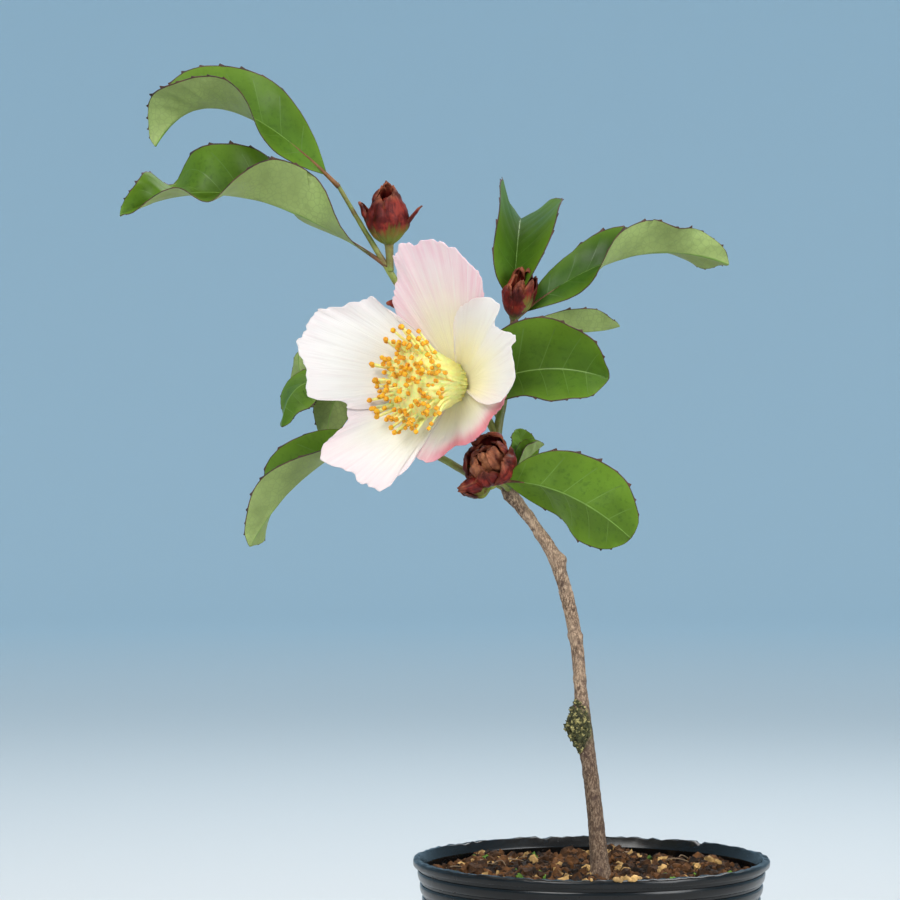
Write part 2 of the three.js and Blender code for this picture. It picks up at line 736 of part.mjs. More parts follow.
function flowerSolid() {
  const calyx = new THREE.SphereGeometry(1, 10, 6);
  calyx.scale(FLOWER.calyxRadius, FLOWER.calyxRadius, FLOWER.calyxHeight);
  const facing = turnedTo(FLOWER.faces);
  const pointing = turnedTo(FLOWER.stamensPoint);
  const petals = [calyx, ...PETALS.map(petalGeometry)].map((geometry) => geometry.applyMatrix4(facing));
  const stamens = stamenGeometries().map((geometry) => geometry.applyMatrix4(pointing));
  const solids = [limb(FLOWER.stalk, TWIG_SIDES), ...petals, ...stamens].map(solidOf);
  return clearOf(["trunk", ...Object.keys(BOUGHS)], fused(solids));
}

const plant = new THREE.Group();
plant.add(meshOf("pot", potSolid(), COLOURS.pot));
plant.add(meshOf("soil", soilSolid(), COLOURS.soil));
plant.add(meshOf("trunk", trunkSolid(), COLOURS.bark));
for (const name of Object.keys(BOUGHS)) plant.add(meshOf(name, boughSolid(name), COLOURS.bough));
for (const [name, spray] of Object.entries(SPRAYS)) plant.add(meshOf(name, spraySolid(spray), COLOURS.leaf));
plant.add(meshOf("flower", flowerSolid(), COLOURS.petal));

export default plant;
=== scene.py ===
import itertools
import math

import bmesh
import bpy
import numpy as np
from bpy.props import FloatProperty, FloatVectorProperty, IntProperty, PointerProperty
from mathutils import Matrix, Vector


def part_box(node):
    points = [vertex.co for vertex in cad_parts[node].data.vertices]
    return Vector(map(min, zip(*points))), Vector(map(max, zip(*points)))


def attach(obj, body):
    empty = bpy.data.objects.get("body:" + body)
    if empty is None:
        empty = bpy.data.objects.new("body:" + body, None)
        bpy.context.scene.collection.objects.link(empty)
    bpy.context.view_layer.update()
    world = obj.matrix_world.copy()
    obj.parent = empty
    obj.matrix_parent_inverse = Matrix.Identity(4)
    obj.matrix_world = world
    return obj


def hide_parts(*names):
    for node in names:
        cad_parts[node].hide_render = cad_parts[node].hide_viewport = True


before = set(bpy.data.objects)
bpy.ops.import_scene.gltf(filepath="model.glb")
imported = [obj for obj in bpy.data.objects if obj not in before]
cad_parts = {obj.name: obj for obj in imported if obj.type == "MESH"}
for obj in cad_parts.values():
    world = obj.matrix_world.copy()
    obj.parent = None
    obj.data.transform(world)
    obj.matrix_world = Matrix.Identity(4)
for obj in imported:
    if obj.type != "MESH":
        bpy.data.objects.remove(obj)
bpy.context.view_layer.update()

MM = 0.001
POT_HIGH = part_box("pot")[1]

bl_info = {
    "name": "Stewartia Bonsai",
    "version": (1, 0, 0),
    "blender": (4, 5, 0),
    "location": "View3D > Sidebar > Bonsai",
    "description": "Pot, soil, bark, leaves, buds and flower of a small potted stewartia",
    "category": "Object",
}

# Potting mix: its level, the level ground about the trunk, and the round clods that it is heaped in
SOIL_LEVEL = 71.4
LEVEL_RADIUS = 7
CLODS = dict(count=36, reach=38, radius=7, lowest=0.8, highest=2.8, seed=11)

# Stones that lie on the pot's lip: x, y, z and radius
LIP_STONES = [
    (4.2, -44.6, 75.9, 0.85), (5.2, -44.8, 75.6, 0.55), (7.3, -44.5, 75.9, 0.7), (8.5, -44.3, 76.1, 0.95),
    (9.7, -44.3, 76.2, 0.7), (-1.8, -44.5, 75.8, 0.5),
]

# Trunk and boughs: x, y, z and radius where each passes, from the soil upward
TRUNK = [
    (2.2, -5, SOIL_LEVEL - 3, 3.0), (2.2, -5, SOIL_LEVEL, 2.8), (1.9, -5, 75, 2.3), (0.9, -5, 87, 2.0),
    (-1.5, -4.5, 107, 1.9), (-2.8, -4, 119, 1.6), (-3.9, -3, 131, 1.6), (-8.9, -2, 150.5, 1.7),
    (-14.6, -1, 160, 1.4), (-21, 0, 168.6, 1.5), (-22, 0.6, 171.5, 1.1),
]
CALLUS = {"at": (-4.2, -5.6, 108.8), "reach": (2.3, 2.9, 5.6), "height": 3.3}
KNUCKLE = {"at": (-6.9, -2.4, 151.2), "reach": (1.7, 2.0, 2.2), "height": 1.1}
COLLAR = {"at": (-20.4, -0.6, 167.2), "reach": (2.6, 2.6, 2.4), "height": 0.5}
BOUGHS = {
    "bough_leader": [
        (-20.4, -0.1, 167.4, 1.1), (-21.6, 0.4, 170.4, 1.2), (-23.6, 2.5, 180, 1.15), (-21.9, 4, 192, 1.0),
        (-20, 4, 203, 0.9), (-19.6, 4, 210, 0.85), (-19.4, 4, 213, 0.75),
    ],
    "bough_upper_left": [
        (-23.4, 2.4, 180.4, 0.9), (-24.4, 3, 183.4, 1.0), (-33, 6, 197, 0.95), (-42, 5, 211, 0.9),
        (-49.6, 2, 221.6, 0.85), (-51.2, 1.5, 224.4, 0.75),
    ],
    "bough_left": [
        (-20.4, -0.1, 167.6, 0.9), (-22.6, 0.2, 169.4, 1.0), (-31, 1.5, 172.6, 0.95), (-40, 5, 177.6, 0.9),
        (-53, 10, 182, 0.8), (-54.6, 10.5, 183.4, 0.75),
    ],
}


def leaf(root, bend, tip, width, face, left, right, taper=(1, 0.75), twist=0, fresh=0.5, wave=1.0):
    """One leaf: its midrib, its width, the way its upper side faces, and how far its halves lift, in degrees.

    Taper shapes its two ends, twist turns it along its length, fresh is its share of pale green, and wave is
    how much its edge waves.
    """
    return dict(
        root=root, bend=bend, tip=tip, width=width, face=face, left=left, right=right, taper=taper,
        twist=twist, fresh=fresh, wave=wave,
    )


def bud(at, toward, neck, length, radius, sepals):
    """One bud: where its neck leaves the stem, the way it points, its size, and a row for each sepal."""
    return dict(at=at, toward=toward, neck=neck, length=length, radius=radius, sepals=sepals)


# Sepals of each kind of bud: angle, distance and height of the tip, width, belly, and how green and tan. The
# height is a share of the bud's length, and the other sizes are shares of its radius
CLOSED_SEPALS = [(72 * k + 20, 0.15, 1 - 0.05 * k, 1.9, 1.6, 0.15 * k) for k in range(5)]
GREEN_SEPALS = [(*row[:5], 0.5 + 0.1 * k) for k, row in enumerate(CLOSED_SEPALS)]
HORNED_SEPALS = [
    (183, 1.6, 0.68, 1.3, 1.3), (-4, 2.0, 0.6, 0.6, 1.3), (95, 0.1, 1.0, 1.3, 1.2, 0.1),
    (-120, 0.5, 0.76, 2.2, 1.9, 0.4), (-40, 0.6, 0.85, 2.1, 1.85, 0.5), (205, 0.4, 0.7, 1.7, 1.7, 0.2),
    (35, 0.35, 0.9, 1.9, 1.7, 0.1), (150, 0.25, 0.9, 1.8, 1.7, 0.1),
]
PARTING_SEPALS = [
    (-120, 0.6, 0.74, 1.8, 1.3, 0.1), (-50, 0.8, 0.93, 1.6, 1.3, 0.9), (0, 1.05, 0.88, 1.5, 1.3, 0.1),
    (180, 0.9, 0.74, 1.6, 1.4), (90, 0.6, 1.0, 1.7, 1.35, 0.1), (40, 0.9, 0.98, 1.6, 1.35, 0.1),
    (250, 0.3, 0.86, 1.4, 1.2, 0, 0.3), (140, 0.5, 0.9, 1.5, 1.3),
]
OPENING_SEPALS = [
    (95, 1.35, 0.75, 2.0, 1.7, 0.3), (-12, 1.1, 0.85, 2.1, 1.75), (165, 0.95, 0.8, 1.8, 1.6),
    (-75, 0.8, 0.85, 1.4, 1.6, 0.1), (222, 1.05, 0.5, 1.5, 1.5, 1.0), (50, 0.9, 0.9, 1.5, 1.5),
    (10, 0.3, 1.05, 1.7, 1.35, 0, 0.55), (120, 0.25, 1.0, 1.5, 1.3, 0, 0.4),
    (-110, 0.5, 0.95, 1.5, 1.3, 0, 0.6), (200, 0.35, 0.9, 1.4, 1.25, 0, 0.6),
    (-45, 0.05, 1.08, 1.3, 1.1, 0, 0.75),
]

# Sprays: a stem, the leaves on it and, on some, its buds
SPRAYS = {
    "foliage_upper_left": {
        "stem": [(-49.6, 2, 221.6, 0.85), (-56.6, 0, 233, 0.65), (-64.2, 0, 245.9, 0.55)],
        "leaves": [
            leaf(
                (-63.7, 0, 245), (-97, -3, 279), (-109.6, -6, 254.7), 26, (0.1, -1, 0.1),
                [5, 8, 22, 36, 32, 20, 20, 45, 60], [0, 18, 32, 34, 44, 56, 60, 60, 60],
                (0.9, 0.8), 145, 0.3, 1.8,
            ),
            leaf(
                (-51.5, 1.2, 225), (-90.5, -4, 253.5), (-118.2, -8, 237.1), 26, (0, -0.15, 1),
                [-12, 18, 72, 64, 22, -8, 12, 2, 0], [-10, -18, -14, 42, 68, 62, 6, 85, 70],
                (0.8, 0.82), 0, 0.4, 1.4,
            ),
        ],
        "buds": [
            bud((-50.7, 1.4, 223.8), (-1, -5, 22), 7, 16, 4.5, HORNED_SEPALS),
            bud((-45.4, 4, 215.2), (-1, 0.1, 0.1), 0.8, 5.6, 1.3, CLOSED_SEPALS),
        ],
    },
    "foliage_upper_right": {
        "stem": [(-19.6, 4, 210, 0.8), (-19.4, 4, 214.5, 0.7)],
        "leaves": [
            leaf(
                (-19.5, 4, 213.5), (-18.5, 3, 236), (-17, 30, 239), 28, (0, -1, 0),
                [38, 41, 46, 54, 60, 62, 59, 52, 44], [45, 45, 38, 34, 30], (0.8, 0.5), 0, 0.15,
            ),
            leaf(
                (-19.5, 4, 211.4), (10, 2, 236.4), (34.9, 0, 225.4), 18, (-0.3, -0.9, 0.2),
                [14, 20, 12, 40, 45, 15, 0, 0, 0], [0, 5, 5, 20, 50, 60, 28, 52, 60],
                (0.85, 0.72), -115, 0.05, 1.8,
            ),
            leaf(
                (-19.5, 4.2, 211), (-3.2, 10, 207), (7.9, 12, 210.4), 13.5, (0, -0.2, 1),
                [30, 30, 30, 30, 10], [60, 65, 65, 60, 40],
            ),
        ],
        "buds": [bud((-19.5, 4, 211.6), (1.2, -3.2, 6), 0.8, 12.6, 3.7, PARTING_SEPALS)],
    },
    "foliage_middle": {
        "stem": [(-31, 5.4, 194, 0.65), (-29.5, 2.6, 193.8, 0.6), (-28.2, 1.7, 194.3, 0.55)],
        "leaves": [
            leaf(
                (-29.5, 2.6, 193.8), (-12.8, -3, 202.4), (4.2, -8, 196.4), 26.5, (0.1, -1, 0.1),
                [0, 0, 0, 10, 20], [50, 55, 55, 45, 30], (0.5, 0.55), 0, 0.25,
            ),
        ],
    },
    "foliage_low_right": {
        "stem": [(-20.4, 0, 167.8, 0.95), (-21.6, -2.6, 169.6, 0.85), (-23.6, -4.2, 170.6, 0.8)],
        "leaves": [
            leaf(
                (-23.6, -4.2, 170.6), (-6.9, -8, 171.6), (9.5, -12, 156.6), 23, (0.1, -1, 0.1),
                [0, 5, 5, 5, 10], [-60, -64, -60, -42, -30], (0.75, 0.5), 0, 0.5,
            ),
        ],
        "buds": [
            bud((-23.8, -4, 172.1), (-3, -7, 4), 1.5, 10, 5.3, OPENING_SEPALS),
            bud((-24.4, -6, 169.8), (-8, -4, -1.1), 1.4, 9, 2.8, GREEN_SEPALS),
        ],
    },
    "foliage_fork": {
        "stem": [(-20.4, 0, 167.8, 0.85), (-18.9, 1.6, 171, 0.7), (-18.9, 2.3, 173.4, 0.65)],
        "leaves": [
            leaf(
                (-18.9, 2.2, 172.8), (-16, 3, 177.4), (-11.8, 4, 180), 8, (-0.6, -0.2, 0.8),
                [60, 60, 60], [40, 40, 40],
            ),
            leaf(
                (-18.9, 2.2, 172.4), (-15, 8, 177), (-18.6, 10, 183.8), 8, (0, -1, 0),
                [10, 10, 10], [10, 10, 10], (0.6, 0.5),
            ),
        ],
    },
    "foliage_left": {
        "stem": [(-53, 10, 182, 0.8), (-57, 11, 186, 0.7), (-61.4, 11, 194.2, 0.6)],
        "leaves": [
            leaf(
                (-54.6, 10.5, 183.4), (-77, 2, 172.8), (-86.2, -2, 154.2), 20, (-0.3, -0.1, 1),
                [10, 15, 42, 60, 60], [60, 80, 50, -20, -60], (0.8, 0.75), 0, 0.35,
            ),
            leaf(
                (-61.2, 11, 193.8), (-77, 9, 201), (-78.3, 5, 184.4), 14, (-0.2, -0.1, 1),
                [-30, -40, -50, -40, -20], [30, 30, 10, -20, -30], (0.8, 0.5), 0, 0.3,
            ),
            leaf(
                (-61, 11, 193.6), (-66, 13.5, 195.5), (-67.3, 11, 180.8), 10, (-0.3, 1, 0.3),
                [10, 10, 10], [10, 10, 10],
            ),
            leaf(
                (-61.2, 11, 193.9), (-75.5, 17, 190.5), (-74.5, 18, 204.2), 10.5, (0.1, 1, 0),
                [10, 10, 10], [10, 10, 10], (0.8, 0.8), 0, 0.2,
            ),
        ],
    },
    "foliage_back": {
        "stem": [(-22.8, 3.2, 186, 0.85), (-26, 12, 193, 0.7), (-30, 19, 199, 0.6)],
        "leaves": [
            leaf(
                (-29.6, 18.4, 198.4), (-40, 34, 214), (-50, 46, 200), 21, (-0.2, 0.2, 1),
                [25, 30, 20, 10, 0], [30, 40, 35, 20, 10], (0.8, 0.6), 20,
            ),
            leaf(
                (-29.8, 18.8, 198.8), (-24, 32, 212), (-15, 46, 202), 22, (0.2, 0.2, 1),
                [30, 40, 30, 20, 10], [20, 25, 30, 10, 0], (0.8, 0.6), -25,
            ),
            leaf(
                (-27.4, 14.6, 195.2), (-37, 30, 198), (-43, 43, 184), 20, (-0.3, 0.5, 1),
                [20, 30, 25, 15, 10], [25, 20, 30, 25, 10], (0.8, 0.6), 10,
            ),
        ],
    },
}

# Flower: its seat, the way it faces, the way its stamens point and how far ahead of the seat they stand, its
# stalk, and the bowl of its petals
FLOWER_SEAT = (-33.4, -8, 195.2)
FLOWER_FACES = (-0.5, -0.86, 0.05)
STAMENS_POINT = (-0.77, -0.64, 0)
STAMENS_AHEAD = 1.5
FLOWER_STALK = [(-33, 6, 197, 0.85), (-33.1, 0, 195.8, 0.9), (-33.4, -7.6, 195.2, 1.3)]
PETAL_SEAT = 2.2
BOWL_RADIUS = 30
BOWL_HEIGHT = 15
BOWL_POWER = 1.2

# Petals, back ones first: height above the bowl, how pink the inner side is and from which share of its
# length, how creamy the foot is, how rosy the outer side and the inner edge of one are, and the rim as angle
# and reach round the flower
PETALS = [
    dict(
        above=-0.7, pink=1.0, pink_from=0.22, cream=0.9,
        rim=[
            (54, 9), (56, 16), (58, 23), (61, 27.5), (69, 30), (78, 32.5), (88, 34), (100, 34), (107, 33.5),
            (112, 29.5), (119, 25), (126, 22.5), (130, 16), (132, 9),
        ],
    ),
    dict(
        above=0.6, pink=0.22, pink_from=0.75, cream=0.35,
        rim=[
            (118, 9), (124, 17), (129, 24), (130, 27.5), (138, 29), (147, 33), (152, 35.5), (160, 36),
            (166, 37), (175, 34), (187, 33.5), (191, 27), (197, 24), (203, 13), (205, 8),
        ],
    ),
    dict(
        above=-0.2, pink=0.45, pink_from=0.6, cream=0.9,
        rim=[
            (190, 9), (191, 18), (195, 25.5), (203, 27), (207, 30), (209.5, 34), (216, 34.5), (223, 32),
            (231, 31.5), (240, 31.5), (247, 29.5), (247, 26), (250, 23.5), (250, 18), (250, 9),
        ],
    ),
    dict(
        above=-1.1, pink=0.95, pink_from=0.55, rosy=0.9, deep=0.75, cream=1.0,
        rim=[
            (238, 9), (240, 14), (243, 18.5), (250, 20), (262, 20.5), (278, 17), (295, 17), (312, 16.5),
            (327, 16), (340, 17.5), (350, 17), (356, 12), (358, 7),
        ],
    ),
    dict(
        above=1.2, pink=0.12, pink_from=0.8, cream=0.9,
        rim=[
            (-31, 5), (-28, 11), (-20, 17), (-8, 20.5), (6, 23), (19, 23), (23, 25), (30, 23), (40, 21),
            (44, 25.5), (53, 25), (69, 20.5), (78, 17.5), (81, 12), (82, 7),
        ],
    ),
]

# Camera of the photo's view, in metres, with the focal length that its frame has on a 36 mm sensor
CAMERA_AT = (-0.0356, -0.811, 0.1785)
CAMERA_LENS = 128.32
CAMERA_NEAR = 0.01
SENSOR_WIDTH = 36.0

GOLDEN_ANGLE = math.pi * (3 - math.sqrt(5))
UPWARD = np.array([0, 0, 1])
STEEP = 0.98
BODY = "root"

# Maps on the meshes: one that gives every sheet a cell of its own, and one across and along a petal or sepal
BAKE_MAP = "OFBake"
PETAL_MAP = "PetalMap"
MAP_BORDER = 0.04
MAP_RIM = 1.06


def length(label, text, default):
    """A length property, in metres."""
    return FloatProperty(name=label, description=text, default=default, min=0, unit="LENGTH", precision=5)


def colour(label, text, default):
    """A colour property, in scene linear values."""
    return FloatVectorProperty(
        name=label, description=text, default=default, size=3, min=0, max=1, subtype="COLOR"
    )


def power(label, text, default):
    """The power of a lamp, in watts."""
    return FloatProperty(name=label, description=text, default=default, min=0, unit="POWER")


def count(label, text, default):
    """A whole number of like things."""
    return IntProperty(name=label, description=text, default=default, min=0)


class PotSettings(bpy.types.PropertyGroup):
    """Sizes and colours of the pot and what fills it."""

    rim_radius: length("Rim radius", "Outer radius of the pot's lip", POT_HIGH.x)
    foot_radius: length("Foot radius", "Outer radius at the pot's underside", 0.031)
    height: length("Height", "Height of the pot", POT_HIGH.z)
    wall: length("Wall", "Thickness of the pot's wall", 0.0009)
    lip_height: length("Lip height", "Height of the thick band at the rim", 0.0024)
    lip_proud: length("Lip proud", "How far the band stands out of the wall", 0.0009)
    rib_count: count("Ribs", "Rings pressed into the wall below the lip", 3)
    rib_pitch: length("Rib pitch", "Distance from rib to rib", 0.0033)
    rib_proud: length("Rib proud", "How far a rib stands out of the wall", 0.00055)
    rim_wear: length("Rim wear", "How ragged the cut edge of the rim is", 0.00045)
    plastic: colour("Plastic", "Black of the pot", (0.0042, 0.0042, 0.0043))
    dust: colour("Dust", "Dried dirt on the pot", (0.07, 0.06, 0.05))
    crumb_count: count("Crumbs", "Brown crumbs of loam on the surface", 760)
    clod_count: count("Clods", "Larger dark brown clods", 230)
    humus_count: count("Humus", "Dark crumbs among them", 900)
    gravel_count: count("Gravel", "Pale stones among the crumbs", 110)
    fibre_count: count("Fibres", "Pale root fibres on the surface", 16)
    moss_count: count("Moss", "Tufts of moss on the soil", 46)
    crumb_size: length("Crumb size", "Radius of a common crumb", 0.00125)
    crumb: colour("Crumb", "Brown loam", (0.105, 0.042, 0.012))
    humus: colour("Humus", "Dark rotted bark", (0.017, 0.009, 0.005))
    gravel: colour("Gravel", "Tan stones", (0.47, 0.28, 0.10))
    fibre: colour("Fibre", "Pale dry roots", (0.24, 0.16, 0.09))
    moss: colour("Moss", "Green of the moss", (0.10, 0.2, 0.025))


class BarkSettings(bpy.types.PropertyGroup):
    """Relief and colours of the trunk, boughs and twigs."""

    relief: length("Relief", "Depth of the bark's furrows", 0.00009)
    lenticel_count: count("Lenticels", "Pale breathing spots along the trunk", 230)
    flake_count: count("Flakes", "Flakes of lichen and moss on the callus", 420)
    bark: colour("Bark", "Brown of the bark", (0.16, 0.092, 0.055))
    pale: colour("Pale bark", "Pale, worn bark", (0.43, 0.3, 0.2))
    crack: colour("Cracks", "Dark furrows", (0.05, 0.024, 0.018))
    lichen: colour("Lichen", "Olive crust on the callus", (0.062, 0.062, 0.022))
    lichen_pale: colour("Pale lichen", "Tips of the crust", (0.36, 0.30, 0.10))
    flake: colour("Flake", "Pale flakes on the callus", (0.42, 0.36, 0.14))
    bough: colour("Bough", "Olive green of the young boughs", (0.22, 0.27, 0.055))
    blush: colour("Bough blush", "Brown red of their sunny side", (0.17, 0.06, 0.03))
    freckle: colour("Freckles", "Pale freckles of the boughs", (0.45, 0.42, 0.22))
    stalk: colour("Stalk", "Brown red of the leaf stalks", (0.16, 0.065, 0.018))


class LeafSettings(bpy.types.PropertyGroup):
    """Sizes and colours of the leaves."""

    thickness: length("Thickness", "Thickness of a leaf", 0.00042)
    tooth_pitch: length("Tooth pitch", "Distance from tooth to tooth", 0.0042)
    tooth_depth: length("Tooth depth", "How far a tooth stands out", 0.00055)
    quilting: length("Quilting", "How far the leaf swells between its veins", 0.00013)
    stalk: length("Stalk", "Radius of a leaf stalk", 0.0006)
    deep: colour("Deep green", "Upper side of old leaves", (0.036, 0.098, 0.007))
    fresh: colour("Fresh green", "Upper side of young leaves", (0.16, 0.28, 0.016))
    under: colour("Underside", "Pale green of the underside", (0.255, 0.33, 0.1))
    vein: colour("Veins", "Midrib and veins", (0.26, 0.42, 0.08))
    margin: colour("Margin", "Brown red of the leaf's edge", (0.06, 0.018, 0.008))


class FlowerSettings(bpy.types.PropertyGroup):
    """Sizes and colours of the flower and buds."""

    petal_thickness: length("Petal thickness", "Thickness of a petal", 0.0004)
    ruffle: length("Ruffle", "How far the petals' edges wave", 0.0011)
    stamen_count: count("Stamens", "Stamens in the flower", 180)
    stamen_base: length("Stamen base", "Radius of the disc that they stand on", 0.0048)
    stamen_length: length("Stamen length", "Length of a stamen", 0.0178)
    stamen_spread: FloatProperty(
        name="Stamen spread", description="Lean of the outermost stamens", default=math.radians(28),
        subtype="ANGLE",
    )
    filament_radius: length("Filament radius", "Radius of a filament", 0.0005)
    anther_radius: length("Anther radius", "Radius of an anther", 0.0007)
    petal: colour("Petal", "White of the petals", (0.875, 0.785, 0.725))
    cream: colour("Cream", "Petals near the middle of the flower", (0.92, 0.83, 0.46))
    blush: colour("Blush", "Pink of the petals' edges", (0.87, 0.42, 0.49))
    vein: colour("Petal veins", "Fine veins of the petals", (0.72, 0.55, 0.52))
    rose: colour("Rose", "Outer side of the last petal", (0.66, 0.06, 0.10))
    filament: colour("Filament", "Pale yellow filaments", (1.0, 0.87, 0.3))
    anther: colour("Anther", "Orange anthers", (1.0, 0.42, 0.01))
    sepal: colour("Sepal", "Brown red of the buds", (0.108, 0.008, 0.006))
    # Sepal sheen is a painted highlight: the lighter red that stands for the lit folds of the buds
    sepal_highlight: colour("Sepal sheen", "Lighter folds of the buds", (0.25, 0.027, 0.016))
    sepal_green: colour("Sepal green", "Green foot of the buds", (0.17, 0.22, 0.03))
    # Sepal tan colours the pale edges and the inner folds of the buds
    sepal_tan: colour("Sepal tan", "Dry edges and inner folds of the buds", (0.52, 0.22, 0.095))


class StageSettings(bpy.types.PropertyGroup):
    """Floor, backdrop and light."""

    floor: colour("Floor", "Pale floor about the pot", (0.66, 0.68, 0.69))
    backdrop: colour("Backdrop", "Pale blue backdrop all round", (0.58, 0.79, 0.92))
    key_power: power("Key light", "Power of the main light", 3.9)
    fill_power: power("Fill light", "Power of the side light", 3.2)
    back_power: power("Back light", "Power of the light behind the plant", 3)
    wall_power: power("Wall light", "Power of the wide light above", 46)
    air: FloatProperty(name="Air", description="Strength of the light from all sides", default=0.35, min=0)


# Curves and noise
def even_turns(sides):
    """Even angles all round, one for each side."""
    return np.arange(sides) * math.tau / sides


def unit(vectors):
    """The same directions at length one."""
    vectors = np.asarray(vectors, float)
    return vectors / np.maximum(np.linalg.norm(vectors, axis=-1, keepdims=True), 1e-12)


def rows_of(*columns):
    """Rows out of columns of numbers: places out of coordinates, or faces out of corners."""
    return np.stack(np.broadcast_arrays(*columns), axis=-1)


def mixed(low, high, part):
    """A point between two values."""
    return low + (high - low) * part


def smooth_step(low, high, value):
    """A soft step from nothing to one."""
    part = np.clip((value - low) / (high - low), 0, 1)
    return part * part * (3 - 2 * part)


# Odd numbers that scramble the cells of the noise
HASH_X, HASH_Y, HASH_Z = 73856093, 19349663, 83492791
HASH_SEED = 265443576
HASH_MIX = 1274126177


def lumps(places, scale, seed):
    """Smooth seeded noise from -1 to 1 at each place, with lumps about as wide as the scale."""
    cells = np.asarray(places, float) / scale
    base = np.floor(cells).astype(np.int64)
    part = smooth_step(0, 1, cells - base)
    total = np.zeros(cells.shape[:-1])
    for corner in itertools.product((0, 1), repeat=3):
        weight = np.prod(np.where(corner, part, 1 - part), axis=-1)
        x, y, z = np.moveaxis(base + np.array(corner), -1, 0)
        code = (x * HASH_X) ^ (y * HASH_Y) ^ (z * HASH_Z) ^ (seed * HASH_SEED)
        code = ((code ^ (code >> 13)) * HASH_MIX) & 0x7FFFFFFF
        total += weight * (((code ^ (code >> 15)) & 0xFFFF) / 32767.5 - 1)
    return total


def layered(places, *layers):
    """Noise in layers, each given as its share, its size and its seed."""
    return sum(part * lumps(places, size, seed) for part, size, seed in layers)


def along(values, t):
    """Smooth run through evenly spaced values."""
    values = np.asarray(values, float)
    last = len(values) - 1
    x = np.clip(t, 0, 1) * last
    i = np.minimum(x.astype(int), last - 1)
    f = x - i
    a, b = values[np.maximum(i - 1, 0)], values[i]
    c, d = values[i + 1], values[np.minimum(i + 2, last)]
    return 0.5 * (2 * b + (c - a) * f + (2 * a - 5 * b + 4 * c - d) * f**2 + (3 * b - a - 3 * c + d) * f**3)


def path_through(stations, spacing):
    """Places, tangents and radii at even steps along the smooth curve through stations."""
    stations = np.asarray(stations, float)
    places = stations[:, :3]
    ends = np.vstack([2 * places[0] - places[1], places, 2 * places[-1] - places[-2]])
    t = np.linspace(0, 1, 40, endpoint=False)[:, None]
    dense = []
    for i in range(len(places) - 1):
        a, b, c, d = ends[i : i + 4]
        before, here, after = (max(np.linalg.norm(q - p), 1e-6) ** 0.5 for p, q in ((a, b), (b, c), (c, d)))
        start = ((b - a) / before - (c - a) / (before + here) + (c - b) / here) * here
        stop = ((c - b) / here - (d - b) / (here + after) + (d - c) / after) * here
        square = 3 * c - 3 * b - 2 * start - stop
        cube = 2 * b - 2 * c + start + stop
        dense.append(b + start * t + square * t**2 + cube * t**3)
    dense = np.vstack([*dense, places[-1:]])
    radii = along(stations[:, 3], np.linspace(0, 1, len(dense)))
    run = np.concatenate([[0], np.cumsum(np.linalg.norm(np.diff(dense, axis=0), axis=1))])
    steps = np.linspace(0, run[-1], max(3, round(run[-1] / spacing) + 1))
    even = np.stack([np.interp(steps, run, dense[:, k]) for k in range(3)], axis=1)
    return even, unit(np.gradient(even, axis=0)), np.interp(steps, run, radii)


def carried(tangents, first):
    """Directions across a curve, carried along it without spinning."""
    across = np.zeros_like(tangents)
    current = np.asarray(first, float)
    for i, tangent in enumerate(tangents):
        current = unit(current - tangent * current.dot(tangent))
        across[i] = current
    return across


# Meshes
class Gathered:
    """Faces gathered from parts into one mesh. The first part can be given at once."""

    def __init__(self, *part):
        self.places = []
        self.faces = []
        self.slots = []
        self.maps = {}
        self.values = {}
        self.size = 0
        if part:
            self.add(*part)

    def add(self, places, *groups, slots=0, maps=None, values=None):
        """Adds places, groups of faces, their slots, and corner maps and point values by name."""
        self.places.append(np.asarray(places, float).reshape(-1, 3))
        for group in groups:
            self.faces.extend((np.asarray(group) + self.size).tolist())
        self.slots.append(np.broadcast_to(slots, sum(len(group) for group in groups)))
        for name, corners in (maps or {}).items():
            self.maps.setdefault(name, []).append(np.asarray(corners).reshape(-1, 2))
        for name, points in (values or {}).items():
            self.values.setdefault(name, []).append(np.asarray(points).reshape(-1))
        self.size += len(self.places[-1])

    def mesh(self, name, finishes=()):
        """The gathered faces as a mesh in metres, with its finishes in order."""
        mesh = bpy.data.meshes.new(name)
        mesh.from_pydata((np.vstack(self.places) * MM).tolist(), [], self.faces)
        for finish in finishes:
            mesh.materials.append(finish)
        mesh.polygons.foreach_set("material_index", np.concatenate(self.slots).astype(np.int32))
        for map_name, corners in self.maps.items():
            layer = mesh.uv_layers.new(name=map_name)
            layer.uv.foreach_set("vector", np.concatenate(corners).astype(np.float32).ravel())
        for value_name, points in self.values.items():
            attribute = mesh.attributes.new(value_name, "FLOAT", "POINT")
            attribute.data.foreach_set("value", np.concatenate(points).astype(np.float32))
        mesh.shade_smooth()
        mesh.validate()
        return mesh

    def piece(self, name, finishes, slot, *nodes):
        """The gathered faces as a finished piece that stands for its solids."""
        placed(name, self.mesh(name, finishes), slot, *nodes)


def linked(name, data):
    """An object of its data, linked to the scene."""
    thing = bpy.data.objects.new(name, data)
    bpy.context.scene.collection.objects.link(thing)
    return thing


def placed(name, mesh, slot, *nodes):
    """A finished mesh as a piece that rides with the plant and stands for its solids."""
    piece = linked(name, mesh)
    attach(piece, BODY)
    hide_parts(*nodes)


def finished_mesh(name, host, *tools):
    """The plain mesh that a host's modifiers give. The host and its tools are removed."""
    view = bpy.context.evaluated_depsgraph_get()
    mesh = bpy.data.meshes.new_from_object(host.evaluated_get(view))
    mesh.name = name
    host.modifiers.clear()
    for thing in (host, *tools):
        bpy.data.objects.remove(thing)
    mesh.shade_smooth()
    return mesh


def turned(profile, sides):
    """Rings of a profile of radius and height, turned about the upright axis."""
    profile = np.asarray(profile, float)
    radius, height = profile[:, :1], profile[:, 1:]
    turn = even_turns(sides)
    return rows_of(radius * np.cos(turn), radius * np.sin(turn), height)


